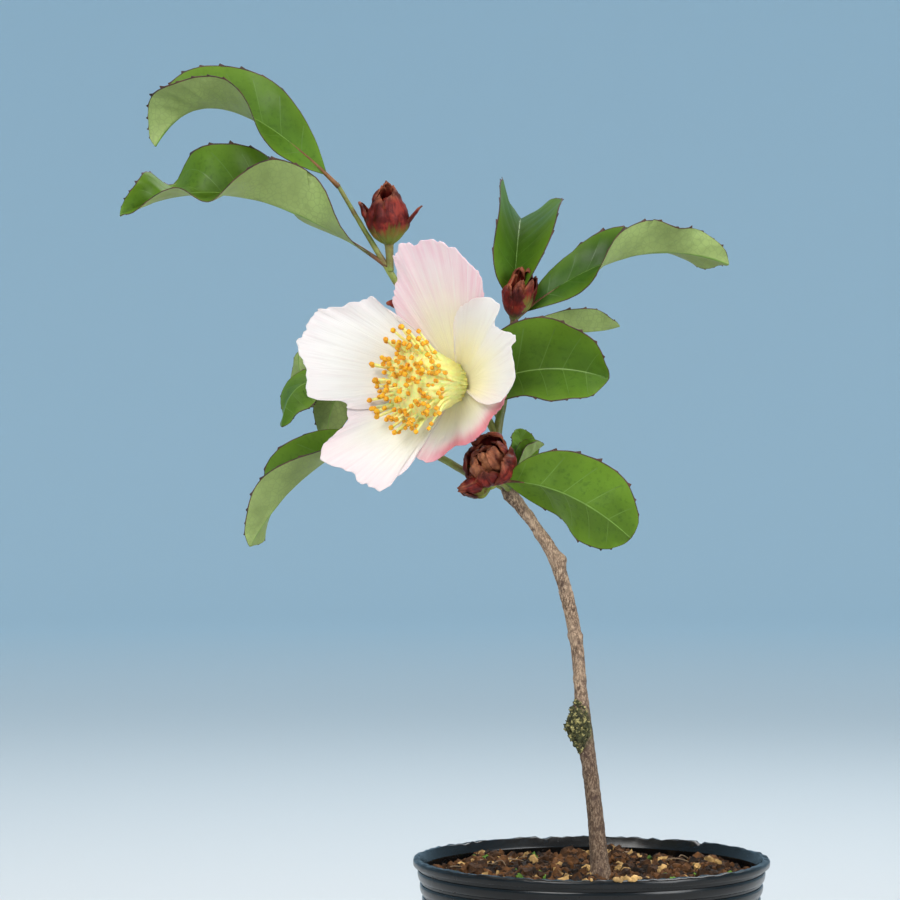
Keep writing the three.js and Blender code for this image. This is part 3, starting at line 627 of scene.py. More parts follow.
def ring_faces(rings):
    """Quads of a tube whose rings follow each other."""
    number, sides = rings.shape[:2]
    i, k = np.meshgrid(np.arange(number - 1), np.arange(sides), indexing="ij")
    a = (i * sides + k).ravel()
    b = (i * sides + (k + 1) % sides).ravel()
    return rows_of(a, b, b + sides, a + sides)


def closed_tube(rings):
    """Places and face groups of a tube whose ends are closed."""
    number, sides = rings.shape[:2]
    middle = number * sides
    corner = np.arange(sides)
    following = np.roll(corner, -1)
    last = corner + middle - sides
    places = np.vstack([rings.reshape(-1, 3), rings[0].mean(axis=0), rings[-1].mean(axis=0)])
    start = rows_of(middle, following, corner)
    stop = rows_of(middle + 1, last, np.roll(last, -1))
    return places, ring_faces(rings), start, stop


def add_tube(gathered, stations, sides, spacing, relief=None, slot=0):
    """A closed tube through stations; relief gives how far each place moves outward."""
    middle, tangents, radii = path_through(stations, spacing)
    sideways = carried(tangents, (0, -1, 0.01))
    other = np.cross(tangents, sideways)
    angle = even_turns(sides)
    outward = sideways[:, None] * np.cos(angle)[:, None] + other[:, None] * np.sin(angle)[:, None]
    rings = middle[:, None] + outward * radii[:, None, None]
    if relief is not None:
        rings = rings + outward * relief(rings, outward)[..., None]
    gathered.add(*closed_tube(rings), slots=slot)
    return rings


def grid_faces(rows, columns):
    """Quads of a sheet that face the way its rows and columns turn."""
    i, j = np.meshgrid(np.arange(rows - 1), np.arange(columns - 1), indexing="ij")
    a = (i * columns + j).ravel()
    return rows_of(a, a + columns, a + columns + 1, a + 1)


def sheet_normals(sheet):
    """The upper side's direction at each place of a sheet."""
    return unit(np.cross(np.gradient(sheet, axis=0), np.gradient(sheet, axis=1)))


def edge_loop(rows, columns):
    """Places round the edge of a sheet, in order."""
    ids = np.arange(rows * columns).reshape(rows, columns)
    return np.concatenate([ids[0, :-1], ids[:-1, -1], ids[-1, :0:-1], ids[:0:-1, 0]])


def add_sheet(gathered, sheet, thickness, slots, cell, values, maps=None):
    """A thin closed blade: its upper side, underside and edge, each side with its own half of a map cell.

    Slots are given for the upper side, the underside and the edge, and each of the values for both sides.
    """
    rows, columns = sheet.shape[:2]
    offset = sheet_normals(sheet) * (np.broadcast_to(thickness, (rows, columns))[..., None] / 2)
    places = np.concatenate([(sheet + offset).reshape(-1, 3), (sheet - offset).reshape(-1, 3)])
    quads = grid_faces(rows, columns)
    flipped = quads[:, ::-1]
    edge = edge_loop(rows, columns)
    following = np.roll(edge, -1)
    below = rows * columns
    rim = rows_of(edge, following, following + below, edge + below)
    faces = np.vstack([quads, flipped + below, rim])
    *side_slots, rim_slot = slots
    sides = [np.broadcast_to(slot, (rows - 1, columns - 1)).ravel() for slot in side_slots]
    face_slots = np.concatenate([*sides, np.full(len(edge), rim_slot)])
    steps = (np.linspace(MAP_BORDER, 1 - MAP_BORDER, number) for number in (rows, columns))
    i, j = np.meshgrid(*steps, indexing="ij")
    x, y, size = cell
    upper = np.array([x, y]) + rows_of(j.ravel(), i.ravel()) * np.array([size / 2, size])
    under = upper + np.array([size / 2, 0])
    centre = np.array([x + size / 4, y + size / 2])
    outer = centre + (upper - centre) * MAP_RIM
    rim_map = np.stack([upper[edge], upper[following], outer[following], outer[edge]], axis=1)
    parts = (upper[quads], under[flipped], rim_map)
    all_maps = {BAKE_MAP: np.concatenate([part.reshape(-1, 2) for part in parts])}
    corners_above = np.vstack([quads, flipped, rows_of(edge, following, following, edge)])
    for name, spots in (maps or {}).items():
        all_maps[name] = spots.reshape(-1, 2)[corners_above]
    both = {
        name: np.concatenate([np.broadcast_to(side, (rows, columns)).ravel() for side in pair])
        for name, pair in values.items()
    }
    gathered.add(places, faces, slots=face_slots, maps=all_maps, values=both)


def cells(total):
    """Even square cells of the bake map, one for each sheet, as corner and size."""
    across = math.ceil(math.sqrt(total))
    size = 1 / across
    return [((k % across) * size, (k // across) * size, size) for k in range(total)]


def outline(t, taper):
    """Share of the greatest width at a share of the length: zero at both ends."""
    rising, falling = taper
    peak = rising / (rising + falling)
    top = peak**rising * (1 - peak) ** falling
    return np.clip(t, 0, 1) ** rising * np.clip(1 - t, 0, 1) ** falling / top


# Blades: steps along a midrib, and how narrow the tip is beside the foot
MIDRIB_STEPS = 161
TIP_TO_FOOT = 0.15


def corners(blade):
    """Root, bend and tip of a blade's midrib."""
    return (np.array(blade[key], float) for key in ("root", "bend", "tip"))


def midrib(blade, s):
    """Places and tangents at shares of a blade's midrib, a curve from root to tip by its bend."""
    root, bend, tip = corners(blade)
    s = np.asarray(s)[:, None]
    places = (1 - s) ** 2 * root + 2 * s * (1 - s) * bend + s**2 * tip
    return places, unit(2 * (1 - s) * (bend - root) + 2 * s * (tip - bend))


def blade_sheet(blade, t, across, cup, foot, stalk=0.0, wider=0.0):
    """Places of a blade for its shares of length and of half width, by the rule that the solids follow.

    Cup lifts its edges, in degrees, foot is the least half width at its root, stalk is its bare share, and
    wider is added to its half width.
    """
    run = np.linspace(0, 1, MIDRIB_STEPS)
    middle, tangents = midrib(blade, mixed(stalk, 1, run))
    facing = carried(tangents, blade["face"])
    turn = np.radians(blade["twist"] * run)[:, None]
    upward = facing * np.cos(turn) + np.cross(tangents, facing) * np.sin(turn)
    leftward = np.cross(upward, tangents)
    t = np.clip(t, 0, 1)
    middle, upward, leftward = (
        np.stack([np.interp(t, run, part[:, k]) for k in range(3)], axis=-1)
        for part in (middle, upward, leftward)
    )
    least = foot * np.where(t < 0.5, 1, TIP_TO_FOOT)
    half = np.maximum(0.5 * blade["width"] * outline(t, blade["taper"]), least) + wider
    rise = np.where(across < 0, along(blade["right"], t), along(blade["left"], t))
    rise = np.radians(rise + cup * (np.abs(across) - 0.5))
    sideways = (half * across * np.cos(rise))[..., None]
    lifted = (half * np.abs(across) * np.sin(rise))[..., None]
    return middle + leftward * sideways + upward * lifted


# Nodes
class Graph:
    """Adds nodes to a tree and links them by what they are given."""

    def __init__(self, tree):
        self.tree = tree

    def add(self, kind, inputs=None, **settings):
        """A node with its settings, and its inputs linked or set."""
        node = self.tree.nodes.new(kind)
        for key, value in settings.items():
            setattr(node, key, value)
        for key, value in (inputs or {}).items():
            self.give(node.inputs[key], value)
        return node

    def give(self, socket, value):
        """Links a socket to another, or sets its value."""
        if isinstance(value, bpy.types.NodeSocket):
            self.tree.links.new(value, socket)
        else:
            socket.default_value = value

    def math(self, operation, first, second=0.0):
        """The result of one operation on two numbers."""
        return self.add("ShaderNodeMath", {0: first, 1: second}, operation=operation).outputs[0]

    def times(self, first, second):
        """The product of two numbers."""
        return self.math("MULTIPLY", first, second)

    def plus(self, first, second):
        """The sum of two numbers."""
        return self.math("ADD", first, second)

    def drawn(self, low, high, seed, **more):
        """A random number between two for each point, or a vector between two vectors."""
        vector = isinstance(high, tuple)
        inputs = {0 if vector else 2: low, 1 if vector else 3: high, **more, "Seed": seed}
        node = self.add("FunctionNodeRandomValue", inputs, data_type="FLOAT_VECTOR" if vector else "FLOAT")
        return node.outputs[0 if vector else 1]


# Finishes: where the dark, plain and light shades of a tint lie along soft noise, and the range that it has
SHADE_STOPS = (0.3, 0.52, 0.72)
NOISE_RANGE = (0.3, 0.7)


class Finish(Graph):
    """A procedural finish on one principled shader, with constants on the shader itself."""

    def __init__(self, name, shine=0.5, **sockets):
        self.material = bpy.data.materials.new(name)
        self.material.use_nodes = True
        super().__init__(self.material.node_tree)
        self.shader = self.tree.nodes["Principled BSDF"]
        self.shader.inputs["Specular IOR Level"].default_value = shine
        for key, value in sockets.items():
            self.shader.inputs[key.replace("_", " ")].default_value = value
        self.place = self.add("ShaderNodeTexCoord").outputs["Object"]

    def stretched(self, scale, place=None):
        """Coordinates stretched along each axis, by default the object's."""
        inputs = {"Vector": place or self.place, "Scale": scale}
        return self.add("ShaderNodeMapping", inputs).outputs["Vector"]

    def blade_place(self):
        """Coordinates across and along a petal or sepal."""
        return self.add("ShaderNodeUVMap", uv_map=PETAL_MAP).outputs["UV"]

    def noise(self, scale, detail=3.0, rough=0.55, place=None):
        """Soft noise, with a scale in waves per metre."""
        inputs = {"Vector": place or self.place, "Scale": scale, "Detail": detail, "Roughness": rough}
        return self.add("ShaderNodeTexNoise", inputs).outputs["Fac"]

    def cells(self, scale, feature="F1"):
        """Distance in a pattern of cells."""
        inputs = {"Vector": self.place, "Scale": scale}
        return self.add("ShaderNodeTexVoronoi", inputs, feature=feature).outputs["Distance"]

    def ramp(self, value, *stops):
        """Tints along a value: where each lies, the tint, and how much darker or lighter it is made."""
        node = self.add("ShaderNodeValToRGB", {"Fac": value})
        points = node.color_ramp.elements
        while len(points) < len(stops):
            points.new(1.0)
        for point, (position, *tint) in zip(points, stops):
            point.position = position
            point.color = (*toned(*tint), 1)
        return node.outputs["Color"]

    def shades(self, value, tint, spread):
        """Darker and lighter shades of one tint along a value."""
        factors = (1 - spread, 1, 1 + spread)
        return self.ramp(value, *((stop, tint, factor) for stop, factor in zip(SHADE_STOPS, factors)))

    def own(self, name):
        """A number that each place of the mesh carries."""
        return self.add("ShaderNodeAttribute", attribute_name=name).outputs["Fac"]

    def between(self, value, low, high, least=0.0, most=1.0):
        """A value moved from one range to another and held there."""
        inputs = {"Value": value, "From Min": low, "From Max": high, "To Min": least, "To Max": most}
        return self.add("ShaderNodeMapRange", inputs).outputs["Result"]

    def varied(self, noise, least, most):
        """A value that runs from least to most over the range that soft noise has."""
        return self.between(noise, *NOISE_RANGE, least, most)

    def blend(self, part, first, second, share=1):
        """One colour laid over another by a part, or by a share of it."""
        if share < 1:
            part = self.times(part, share)
        node = self.add("ShaderNodeMix", data_type="RGBA")
        for socket, value in ((node.inputs[0], part), (node.inputs[6], first), (node.inputs[7], second)):
            self.give(socket, value if isinstance(value, (bpy.types.NodeSocket, float)) else (*value, 1))
        return node.outputs[2]

    def done(self, base, rough=None, height=None, depth=0.0001, strength=0.6):
        """Links what has a pattern to the shader and gives the material back."""
        self.give(self.shader.inputs["Base Color"], base)
        if rough is not None:
            self.give(self.shader.inputs["Roughness"], rough)
        if height is not None:
            bump = self.add("ShaderNodeBump", {"Height": height, "Strength": strength, "Distance": depth})
            self.give(self.shader.inputs["Normal"], bump.outputs["Normal"])
        return self.material


def toned(tint, factor=1):
    """A colour made darker or lighter."""
    return tuple(min(1.0, max(0.0, part * factor)) for part in tint)


def mottled_finish(name, tint, scale, spread, rough, grain=None, depth=0.0002, **sockets):
    """A finish whose colour varies softly about one tint, with a fine grain."""
    finish = Finish(name, **sockets)
    soft = finish.noise(scale)
    base = finish.shades(soft, tint, spread)
    roughness = finish.varied(finish.noise(scale * 2.3), *rough)
    return finish.done(base, roughness, finish.noise(grain or scale * 6, 2.0), depth)


def geometry_tree(name, inputs):
    """An empty geometry node tree with named inputs, as a graph, and its input and output."""
    tree = bpy.data.node_groups.new(name, "GeometryNodeTree")
    for label, kind in inputs.items():
        tree.interface.new_socket(label, in_out="INPUT", socket_type="NodeSocket" + kind)
    tree.interface.new_socket("Geometry", in_out="OUTPUT", socket_type="NodeSocketGeometry")
    graph = Graph(tree)
    return graph, graph.add("NodeGroupInput").outputs, graph.add("NodeGroupOutput").inputs


def copies_on(graph, given, result, points, turn, scale):
    """Ends a tree with a real copy of its shape at each point, in its finish."""
    shape = graph.add("GeometryNodeObjectInfo", {"Object": given["Shape"]}).outputs["Geometry"]
    inputs = {"Points": points, "Instance": shape, "Rotation": turn, "Scale": scale}
    copies = graph.add("GeometryNodeInstanceOnPoints", inputs).outputs["Instances"]
    real = graph.add("GeometryNodeRealizeInstances", {"Geometry": copies}).outputs["Geometry"]
    dressed = graph.add("GeometryNodeSetMaterial", {"Geometry": real, "Material": given["Finish"]})
    graph.give(result["Geometry"], dressed.outputs["Geometry"])
    return graph.tree


def scatter_tree():
    """Copies of one small shape, strewn over a surface at random sizes and turns."""
    graph, given, result = geometry_tree(
        "Strewn bits",
        {
            "Surface": "Geometry", "Shape": "Object", "Number": "Int", "Area": "Float", "Least size": "Float",
            "Most size": "Float", "Lift": "Float", "Seed": "Int", "Finish": "Material",
        },
    )
    seed = given["Seed"]
    density = graph.math("DIVIDE", given["Number"], given["Area"])
    points = graph.add(
        "GeometryNodeDistributePointsOnFaces",
        {"Mesh": given["Surface"], "Density": density, "Seed": seed},
        distribute_method="RANDOM",
    ).outputs
    turn = graph.drawn((0, 0, 0), (math.tau, math.tau, math.tau), seed)
    size = graph.drawn(given["Least size"], given["Most size"], graph.plus(seed, 7))
    squash = graph.drawn((0.75, 0.75, 0.6), (1.25, 1.25, 1), graph.plus(seed, 3))
    scale = graph.add("ShaderNodeVectorMath", {0: squash, "Scale": size}, operation="SCALE").outputs[0]
    outward = {0: points["Normal"], "Scale": graph.times(size, given["Lift"])}
    lift = graph.add("ShaderNodeVectorMath", outward, operation="SCALE").outputs[0]
    lifted = graph.add("GeometryNodeSetPosition", {"Geometry": points["Points"], "Offset": lift})
    return copies_on(graph, given, result, lifted.outputs["Geometry"], turn, scale)


def stamen_tree():
    """Copies of one shape on a disc of golden-angle points, leaning further out towards its edge."""
    graph, given, result = geometry_tree(
        "Ring of stamens",
        {
            "Geometry": "Geometry", "Shape": "Object", "Number": "Int", "Base radius": "Float",
            "Spread": "Float", "Seed": "Int", "Finish": "Material",
        },
    )
    index = graph.add("GeometryNodeInputIndex").outputs[0]
    part = graph.math("SQRT", graph.math("DIVIDE", graph.plus(index, 0.5), given["Number"]))
    spin = graph.times(index, GOLDEN_ANGLE)

    def wobble(low, high, offset):
        return graph.drawn(low, high, graph.plus(given["Seed"], offset), ID=index)

    out = graph.times(part, given["Base radius"])
    x = graph.times(out, graph.math("COSINE", spin))
    y = graph.times(out, graph.math("SINE", spin))
    seat = graph.add("ShaderNodeCombineXYZ", {"X": x, "Y": y})
    lean = graph.plus(graph.times(part, given["Spread"]), wobble(-0.1, 0.1, 1))
    swung = graph.plus(spin, wobble(-0.25, 0.25, 2))
    turn = graph.add("ShaderNodeCombineXYZ", {"X": wobble(-0.1, 0.1, 3), "Y": lean, "Z": swung})
    points = graph.add("GeometryNodePoints", {"Count": given["Number"], "Position": seat.outputs[0]})
    scale = wobble(0.8, 1.06, 4)
    return copies_on(graph, given, result, points.outputs[0], turn.outputs[0], scale)


def grown(name, tree, host_mesh, shape_mesh, **given):
    """The plain mesh that a tree grows on a host out of copies of a shape."""
    host = linked(name, host_mesh)
    shape = linked(name + "_shape", shape_mesh)
    modifier = host.modifiers.new("Growth", "NODES")
    modifier.node_group = tree
    labels = {item.name: item.identifier for item in tree.interface.items_tree if item.in_out == "INPUT"}
    modifier[labels["Shape"]] = shape
    for label, value in given.items():
        modifier[labels[label.replace("_", " ")]] = value
    return finished_mesh(name, host, shape)


def ball(middle, sizes, around, rows):
    """Rings of a ball about its third axis, which stop just short of its ends."""
    short = 0.12
    lifts = np.linspace(short, math.pi - short, rows)
    lift, turn = np.meshgrid(lifts, even_turns(around), indexing="ij")
    shell = rows_of(np.sin(lift) * np.cos(turn), np.sin(lift) * np.sin(turn), -np.cos(lift))
    return np.asarray(middle) + shell * np.asarray(sizes)


def pebble_mesh(name, seed, roundness):
    """A small stone of about one metre's radius, to be scaled: a ball with lumps."""
    rings = ball((0, 0, 0), (1, 1, 1), 8, 5)
    sizes = 1 + (1 - roundness) * layered(rings, (0.6, 1.1, seed), (0.5, 0.6, seed + 1))
    return Gathered(*closed_tube(rings * sizes[..., None] / MM)).mesh(name)


def strewn(name, ground, roundness, number, sizes, lift, seed, finish):
    """Pebbles between two sizes, strewn over a ground mesh and lifted by a share of their size."""
    least, most = sizes
    shape = pebble_mesh(name + "_shape", seed, roundness)
    tree = bpy.data.node_groups.get("Strewn bits") or scatter_tree()
    area = sum(face.area for face in ground.polygons)
    mesh = grown(
        name, tree, ground.copy(), shape, Number=number, Area=area, Least_size=least, Most_size=most,
        Lift=lift, Seed=seed, Finish=finish,
    )
    mesh.shade_flat()
    return mesh


# Pot and soil

# Wall, from the foot's curve to a little below the ribs, and how full and wide a rib is
POT_SIDES = 192
WALL_FROM = 1.4
WALL_GAP = 1.5
WALL_STEPS = 12
RIB_GAP = 0.4
RIB_SHARE = 0.82
RIB_FULLNESS = 0.8
RIB_STEPS = 9
# Curves of the pot: the foot as steps out and up, the lip as steps in from its edge and up from its root or
# down from the top, its inside as steps out of the wall and down, the ring below it as steps down and out,
# and the heights where the wall meets the floor
FOOT_CURVE = ((-1.6, 0.0), (-0.9, 0.05), (-0.25, 0.45), (0.1, 0.95))
LIP_ROOT = 0.2
LIP_UNDER = ((0.25, 0), (0, 0.35))
LIP_OVER = ((0, 0.9), (0.12, 0.35), (0.4, 0.06), (0.8, 0))
LIP_INSIDE = ((0.25, 0.05), (0, 0.4))
INNER_RING = ((2.2, 0), (2.8, -0.35), (3.3, -0.35), (3.8, 0), (6, 0))
FLOOR_CURVE = (3.0, 1.7)
# Bites out of the worn rim: place and width in degrees, and depth beside the others
RIM_BITES = (
    (61, 0.9, 1.5), (68, 1.6, 0.8), (47, 0.8, 1.3), (104, 1.1, 0.9), (136, 1.2, 0.8), (250, 1.0, 0.6),
)
BITE_DEPTH = 1.6
SWELL = 0.18
# Drain holes, in metres, and the angle from which the shell's edges are sharp
DRAIN_HOLES = 4
DRAIN_RING = 0.019
DRAIN_RADIUS = 0.004
DRAIN_DEPTH = 0.008
SHARP_ANGLE = math.radians(42)


def pot_profile(pot):
    """Radius and height from the underside up the outside of the pot, over its lip and down the inside."""
    top = pot.height / MM
    foot, rim = pot.foot_radius / MM, (pot.rim_radius - pot.lip_proud) / MM
    wall, proud = pot.wall / MM, pot.lip_proud / MM
    lip = pot.lip_height / MM

    def outer(z):
        return mixed(foot, rim, z / top)

    def bow(low, high, height):
        angle = np.linspace(0, math.pi, RIB_STEPS)
        z = mixed(low, high, 0.5 - 0.5 * np.cos(angle))
        return [(outer(y) + height * math.sin(a) ** RIB_FULLNESS, y) for a, y in zip(angle, z)]

    ribs = []
    base = top - lip - RIB_GAP - pot.rib_count * pot.rib_pitch / MM
    for rib in range(pot.rib_count):
        low = base + rib * pot.rib_pitch / MM
        ribs += bow(low, low + RIB_SHARE * pot.rib_pitch / MM, pot.rib_proud / MM)
    ends = [(foot + out, z) for out, z in FOOT_CURVE]
    body = [(outer(z), z) for z in np.linspace(WALL_FROM, base - WALL_GAP, WALL_STEPS)]
    edge = rim + proud
    under = top - lip - LIP_ROOT
    lips = [(outer(under), under)]
    lips += [(edge - inward, top - lip + up) for inward, up in LIP_UNDER]
    lips += [(edge - inward, top - down) for inward, down in LIP_OVER]
    lips += [(rim - wall + out, top - down) for out, down in LIP_INSIDE]
    inner = [(outer(top - down) - wall + out, top - down) for down, out in INNER_RING]
    inner += [(outer(z) - wall, z) for z in (top / 2, *FLOOR_CURVE)]
    return ends + body + ribs + lips + inner


def pot_mesh(pot, finish):
    """The pot as a closed shell with a worn rim and a wall that isn't quite round."""
    places = turned(pot_profile(pot), POT_SIDES)
    turn = even_turns(POT_SIDES)
    top = pot.height / MM
    wear = pot.rim_wear / MM
    near = smooth_step(top - 1.2, top - 0.1, places[..., 2])
    ragged = layered(places, (0.55, 0.8, 3), (0.45, 2.2, 4))
    bites = sum(
        deep * np.exp(-(((turn - math.radians(at)) / math.radians(wide)) ** 2))
        for at, wide, deep in RIM_BITES
    )
    places[..., 2] += near * (wear * ragged - wear - bites * wear * BITE_DEPTH)
    swell = lumps(places, 16, 8) * SWELL * smooth_step(4, 20, places[..., 2])
    places[..., :2] += unit(places[..., :2]) * swell[..., None]
    return Gathered(*closed_tube(places)).mesh("pot_shell", [finish])


def drilled(mesh):
    """The pot's shell with its drain holes, on a ring round the axis."""
    drill = bmesh.new()
    for hole in range(DRAIN_HOLES):
        angle = math.tau * (hole + 0.5) / DRAIN_HOLES
        spot = Matrix.Translation((DRAIN_RING * math.cos(angle), DRAIN_RING * math.sin(angle), 0))
        bmesh.ops.create_cone(
            drill, cap_ends=True, segments=32, radius1=DRAIN_RADIUS, radius2=DRAIN_RADIUS, depth=DRAIN_DEPTH,
            matrix=spot,
        )
    drill_mesh = bpy.data.meshes.new("drill")
    drill.to_mesh(drill_mesh)
    drill.free()
    body = linked("pot_body", mesh)
    tool = linked("pot_drill", drill_mesh)
    cut = body.modifiers.new("Cut", "BOOLEAN")
    cut.object = tool
    cut.solver = "EXACT"
    return finished_mesh("pot_shell", body, tool)


def plastic_finish(pot):
    """Black glossy plastic with scuffs and a little dried dirt."""
    finish = Finish("pot_plastic", shine=0.36)
    tone = finish.ramp(finish.noise(45, 4), (0.35, pot.plastic, 0.8), (0.7, pot.plastic, 1.5))
    specks = finish.between(finish.noise(420, 3, 0.7), 0.62, 0.74)
    patches = finish.between(finish.noise(38, 4, 0.6), 0.5, 0.72)
    dirt = finish.times(finish.times(specks, patches), 0.6)
    base = finish.blend(dirt, tone, pot.dust)
    scuffs = finish.noise(260, 4, 0.6, finish.stretched((1, 1, 5)))
    rough = finish.plus(finish.between(scuffs, 0.3, 0.75, 0.17, 0.3), finish.times(dirt, 0.5))
    return finish.done(base, rough, finish.noise(700), 0.00006, 0.3)


# Step and range of the numbers that deal out the clods, as in the solid
RANDOM_STEP = 16807
RANDOM_RANGE = 2147483647
# Surface of the mix, its gap to the wall and the depth of its skirt
SOIL_RINGS = 30
SOIL_SIDES = 96
SOIL_GAP = 0.15
SOIL_SKIRT = 8
# Root fibres, with their radii at both ends
FIBRE_SIDES = 6
FIBRE_STEPS = 5
FIBRE_REACH = 40
FIBRE_RADII = (0.22, 0.1)


def soil_clods():
    """Place and height of each clod, from the middle to the wall as in the solid."""
    state = CLODS["seed"]
    clods = []
    for i in range(CLODS["count"]):
        state = state * RANDOM_STEP % RANDOM_RANGE
        reach = CLODS["reach"] * math.sqrt((i + 0.5) / CLODS["count"])
        turn = i * GOLDEN_ANGLE
        height = mixed(CLODS["lowest"], CLODS["highest"], state / RANDOM_RANGE)
        clods.append((reach * math.cos(turn), reach * math.sin(turn), height))
    return np.array(clods)


def heaped_height(places):
    """How high the clods heap the mix at each place, fading out at the trunk's foot."""
    clods = soil_clods()
    gaps = np.linalg.norm(places[..., None, :2] - clods[:, :2], axis=-1) / CLODS["radius"]
    domes = np.max(clods[:, 2] * (1 - gaps**2), axis=-1)
    beyond = np.linalg.norm(places[..., :2] - np.array(TRUNK[1][:2]), axis=-1) - LEVEL_RADIUS
    return np.maximum(domes, 0) * np.clip(beyond / LEVEL_RADIUS, 0, 1)


def soil_surface(pot):
    """Rings of the heaped potting mix, from its skirt up and in to the middle."""
    outside = mixed(pot.foot_radius, pot.rim_radius - pot.lip_proud, SOIL_LEVEL * MM / pot.height)
    edge = outside / MM - pot.wall / MM - SOIL_GAP
    radius = np.concatenate([[edge - 0.6], np.linspace(edge, 0.4, SOIL_RINGS)])
    low = SOIL_LEVEL - 1.2
    places = turned([(reach, low) for reach in radius], SOIL_SIDES)
    rough = layered(places, (0.45, 4, 21), (0.3, 1.8, 22))
    inside = smooth_step(edge + 1, edge - 4, radius)[:, None]
    places[..., 2] += (heaped_height(places) + rough) * inside
    places[0, :, 2] = low - SOIL_SKIRT
    return places


def add_stone(gathered, at, size, seed):
    """One stone of about a size, with lumps, set down at a place."""
    rings = ball((0, 0, 0), (1, 1, 0.75), 12, 8)
    sizes = size * (1 + 0.35 * lumps(rings, 0.9, seed) + 0.2 * lumps(rings, 0.45, seed + 1))
    gathered.add(*closed_tube(rings * sizes[..., None] + np.array(at)))


def soil_fibres(pot):
    """Thin dry roots that arch over the mix near the back of the pot."""
    random = np.random.default_rng(14)
    fibres = Gathered()
    steps = np.linspace(0, 1, FIBRE_STEPS)
    for _ in range(pot.fibre_count):
        turn, out = random.uniform(0.1, 0.95) * math.pi, random.uniform(26, 39)
        start = np.array([out * math.cos(turn), out * math.sin(turn), SOIL_LEVEL + 0.6])
        way = random.uniform(0, math.tau)
        run = random.uniform(4, 9) * np.array([math.cos(way), math.sin(way), 0])
        if np.linalg.norm((start + run)[:2]) > FIBRE_REACH:
            run = -run
        arch = random.uniform(0.5, 1.5) * np.sin(steps * math.pi * random.uniform(0.7, 1.0))
        sway = np.cross(run, UPWARD) * (random.uniform(-0.3, 0.3) * np.sin(steps * math.pi))[:, None]
        path = start + run * steps[:, None] + sway + arch[:, None] * UPWARD
        add_tube(fibres, np.column_stack([path, np.linspace(*FIBRE_RADII, FIBRE_STEPS)]), FIBRE_SIDES, 0.6)
    return fibres


# Bark

# Old leaf joints on the trunk as height and swelling, how far a joint fades below and above, how furrows are
# stretched, the reach of a lenticel, the top of the root flare, and where lichen lies
JOINTS = ((121.5, 0.12), (132, 0.3), (142.5, 0.14), (157, 0.18), (163, 0.2), (166.4, 0.22), (97, 0.08))
JOINT_BELOW = 3.2
JOINT_ABOVE = 0.8
FURROW_STRETCH = np.array([1.6, 1.6, 0.5])
LENTICEL_REACH = np.array([0.5, 0.5, 0.28])
FLARE_TOP = 77
CRUST_REACH = np.array([3.6, 4.4, 7.2])
# In metres: the heights over which the bark turns silvery and, downward, dusky, how far from the callus its
# mould ends and is full, and the least and most size of a flake of lichen
SILVER_HEIGHTS = (0.108, 0.124)
DUSK_HEIGHTS = (0.120, 0.100)
MOULD_EDGE = (0.0078, 0.0055)
FLAKE_SIZES = (0.00016, 0.0005)
# Sides of the tubes and steps along them
TRUNK_SIDES = 56
BOUGH_SIDES = 24
TWIG_SIDES = 16
STALK_SIDES = 12
TRUNK_STEP = 0.42
TWIG_STEP = 0.5
NECK_STEP = 0.4
# Necks of the buds: radii at the stem and at the joint, how far the joint lies before the seat and the end
# beyond it, and the end's radius as a share of the bud's
NECK_RADIUS = 0.9
NECK_JOINT = 1.15
NECK_BEFORE = 0.4
NECK_BEYOND = 0.8
NECK_SHARE = 0.4
# Leaf stalks: shares of the midrib that they follow, and how thick they are there
STALK_SHARES = (0, 0.03, 0.06, 0.12, 0.2)
STALK_RADII = (1.15, 0.95, 0.85, 0.6, 0.3)


def bump_at(places, spot):
    """A round swelling about one spot."""
    gap = (places - np.array(spot["at"])) / np.array(spot["reach"])
    return spot["height"] * np.exp(-np.sum(gap**2, axis=-1) * 1.4)


def grain(*layers):
    """Relief of a young bark out of layers of noise."""

    def relief(places, outward):
        return layered(places, *layers)

    return relief


def bark_relief(settings):
    """How far the trunk's bark stands out: furrows, lenticels, the callus and old leaf joints."""
    random = np.random.default_rng(31)
    middle, _, radii = path_through(TRUNK, 0.5)
    spots = random.integers(8, len(middle) - 6, settings.lenticel_count)
    angles = random.uniform(0, math.tau, settings.lenticel_count)
    deep = settings.relief / MM

    def relief(places, outward):
        height = deep * (lumps(places * FURROW_STRETCH, 0.9, 41) + 0.7 * lumps(places, 0.45, 42))
        height += 0.08 * lumps(places, 8, 43)
        for joint, swell in JOINTS:
            below = np.clip((joint - places[..., 2]) / JOINT_BELOW, 0, 1)
            above = np.clip((places[..., 2] - joint) / JOINT_ABOVE, 0, 1)
            height += swell * (1 - smooth_step(0, 1, below + above))
        for spot, angle, tall in zip(spots, angles, random.uniform(0.03, 0.1, len(spots))):
            seat = middle[spot] + radii[spot] * np.array([math.cos(angle), math.sin(angle), 0])
            near = slice(max(0, spot - 3), spot + 4)
            gap = (places[near] - seat) / LENTICEL_REACH
            height[near] += tall * np.exp(-np.sum(gap**2, axis=-1))
        crust = bump_at(places, CALLUS)
        height += crust * (1 + 0.3 * lumps(places, 1.4, 44) + 0.2 * lumps(places, 0.6, 45))
        height += bump_at(places, KNUCKLE) + bump_at(places, COLLAR) * (1 + 0.6 * lumps(places, 0.8, 46))
        flare = smooth_step(FLARE_TOP, SOIL_LEVEL - 1, places[..., 2])
        height += flare * (0.15 + 0.35 * lumps(outward * 3.0, 1.6, 47))
        return height

    return relief


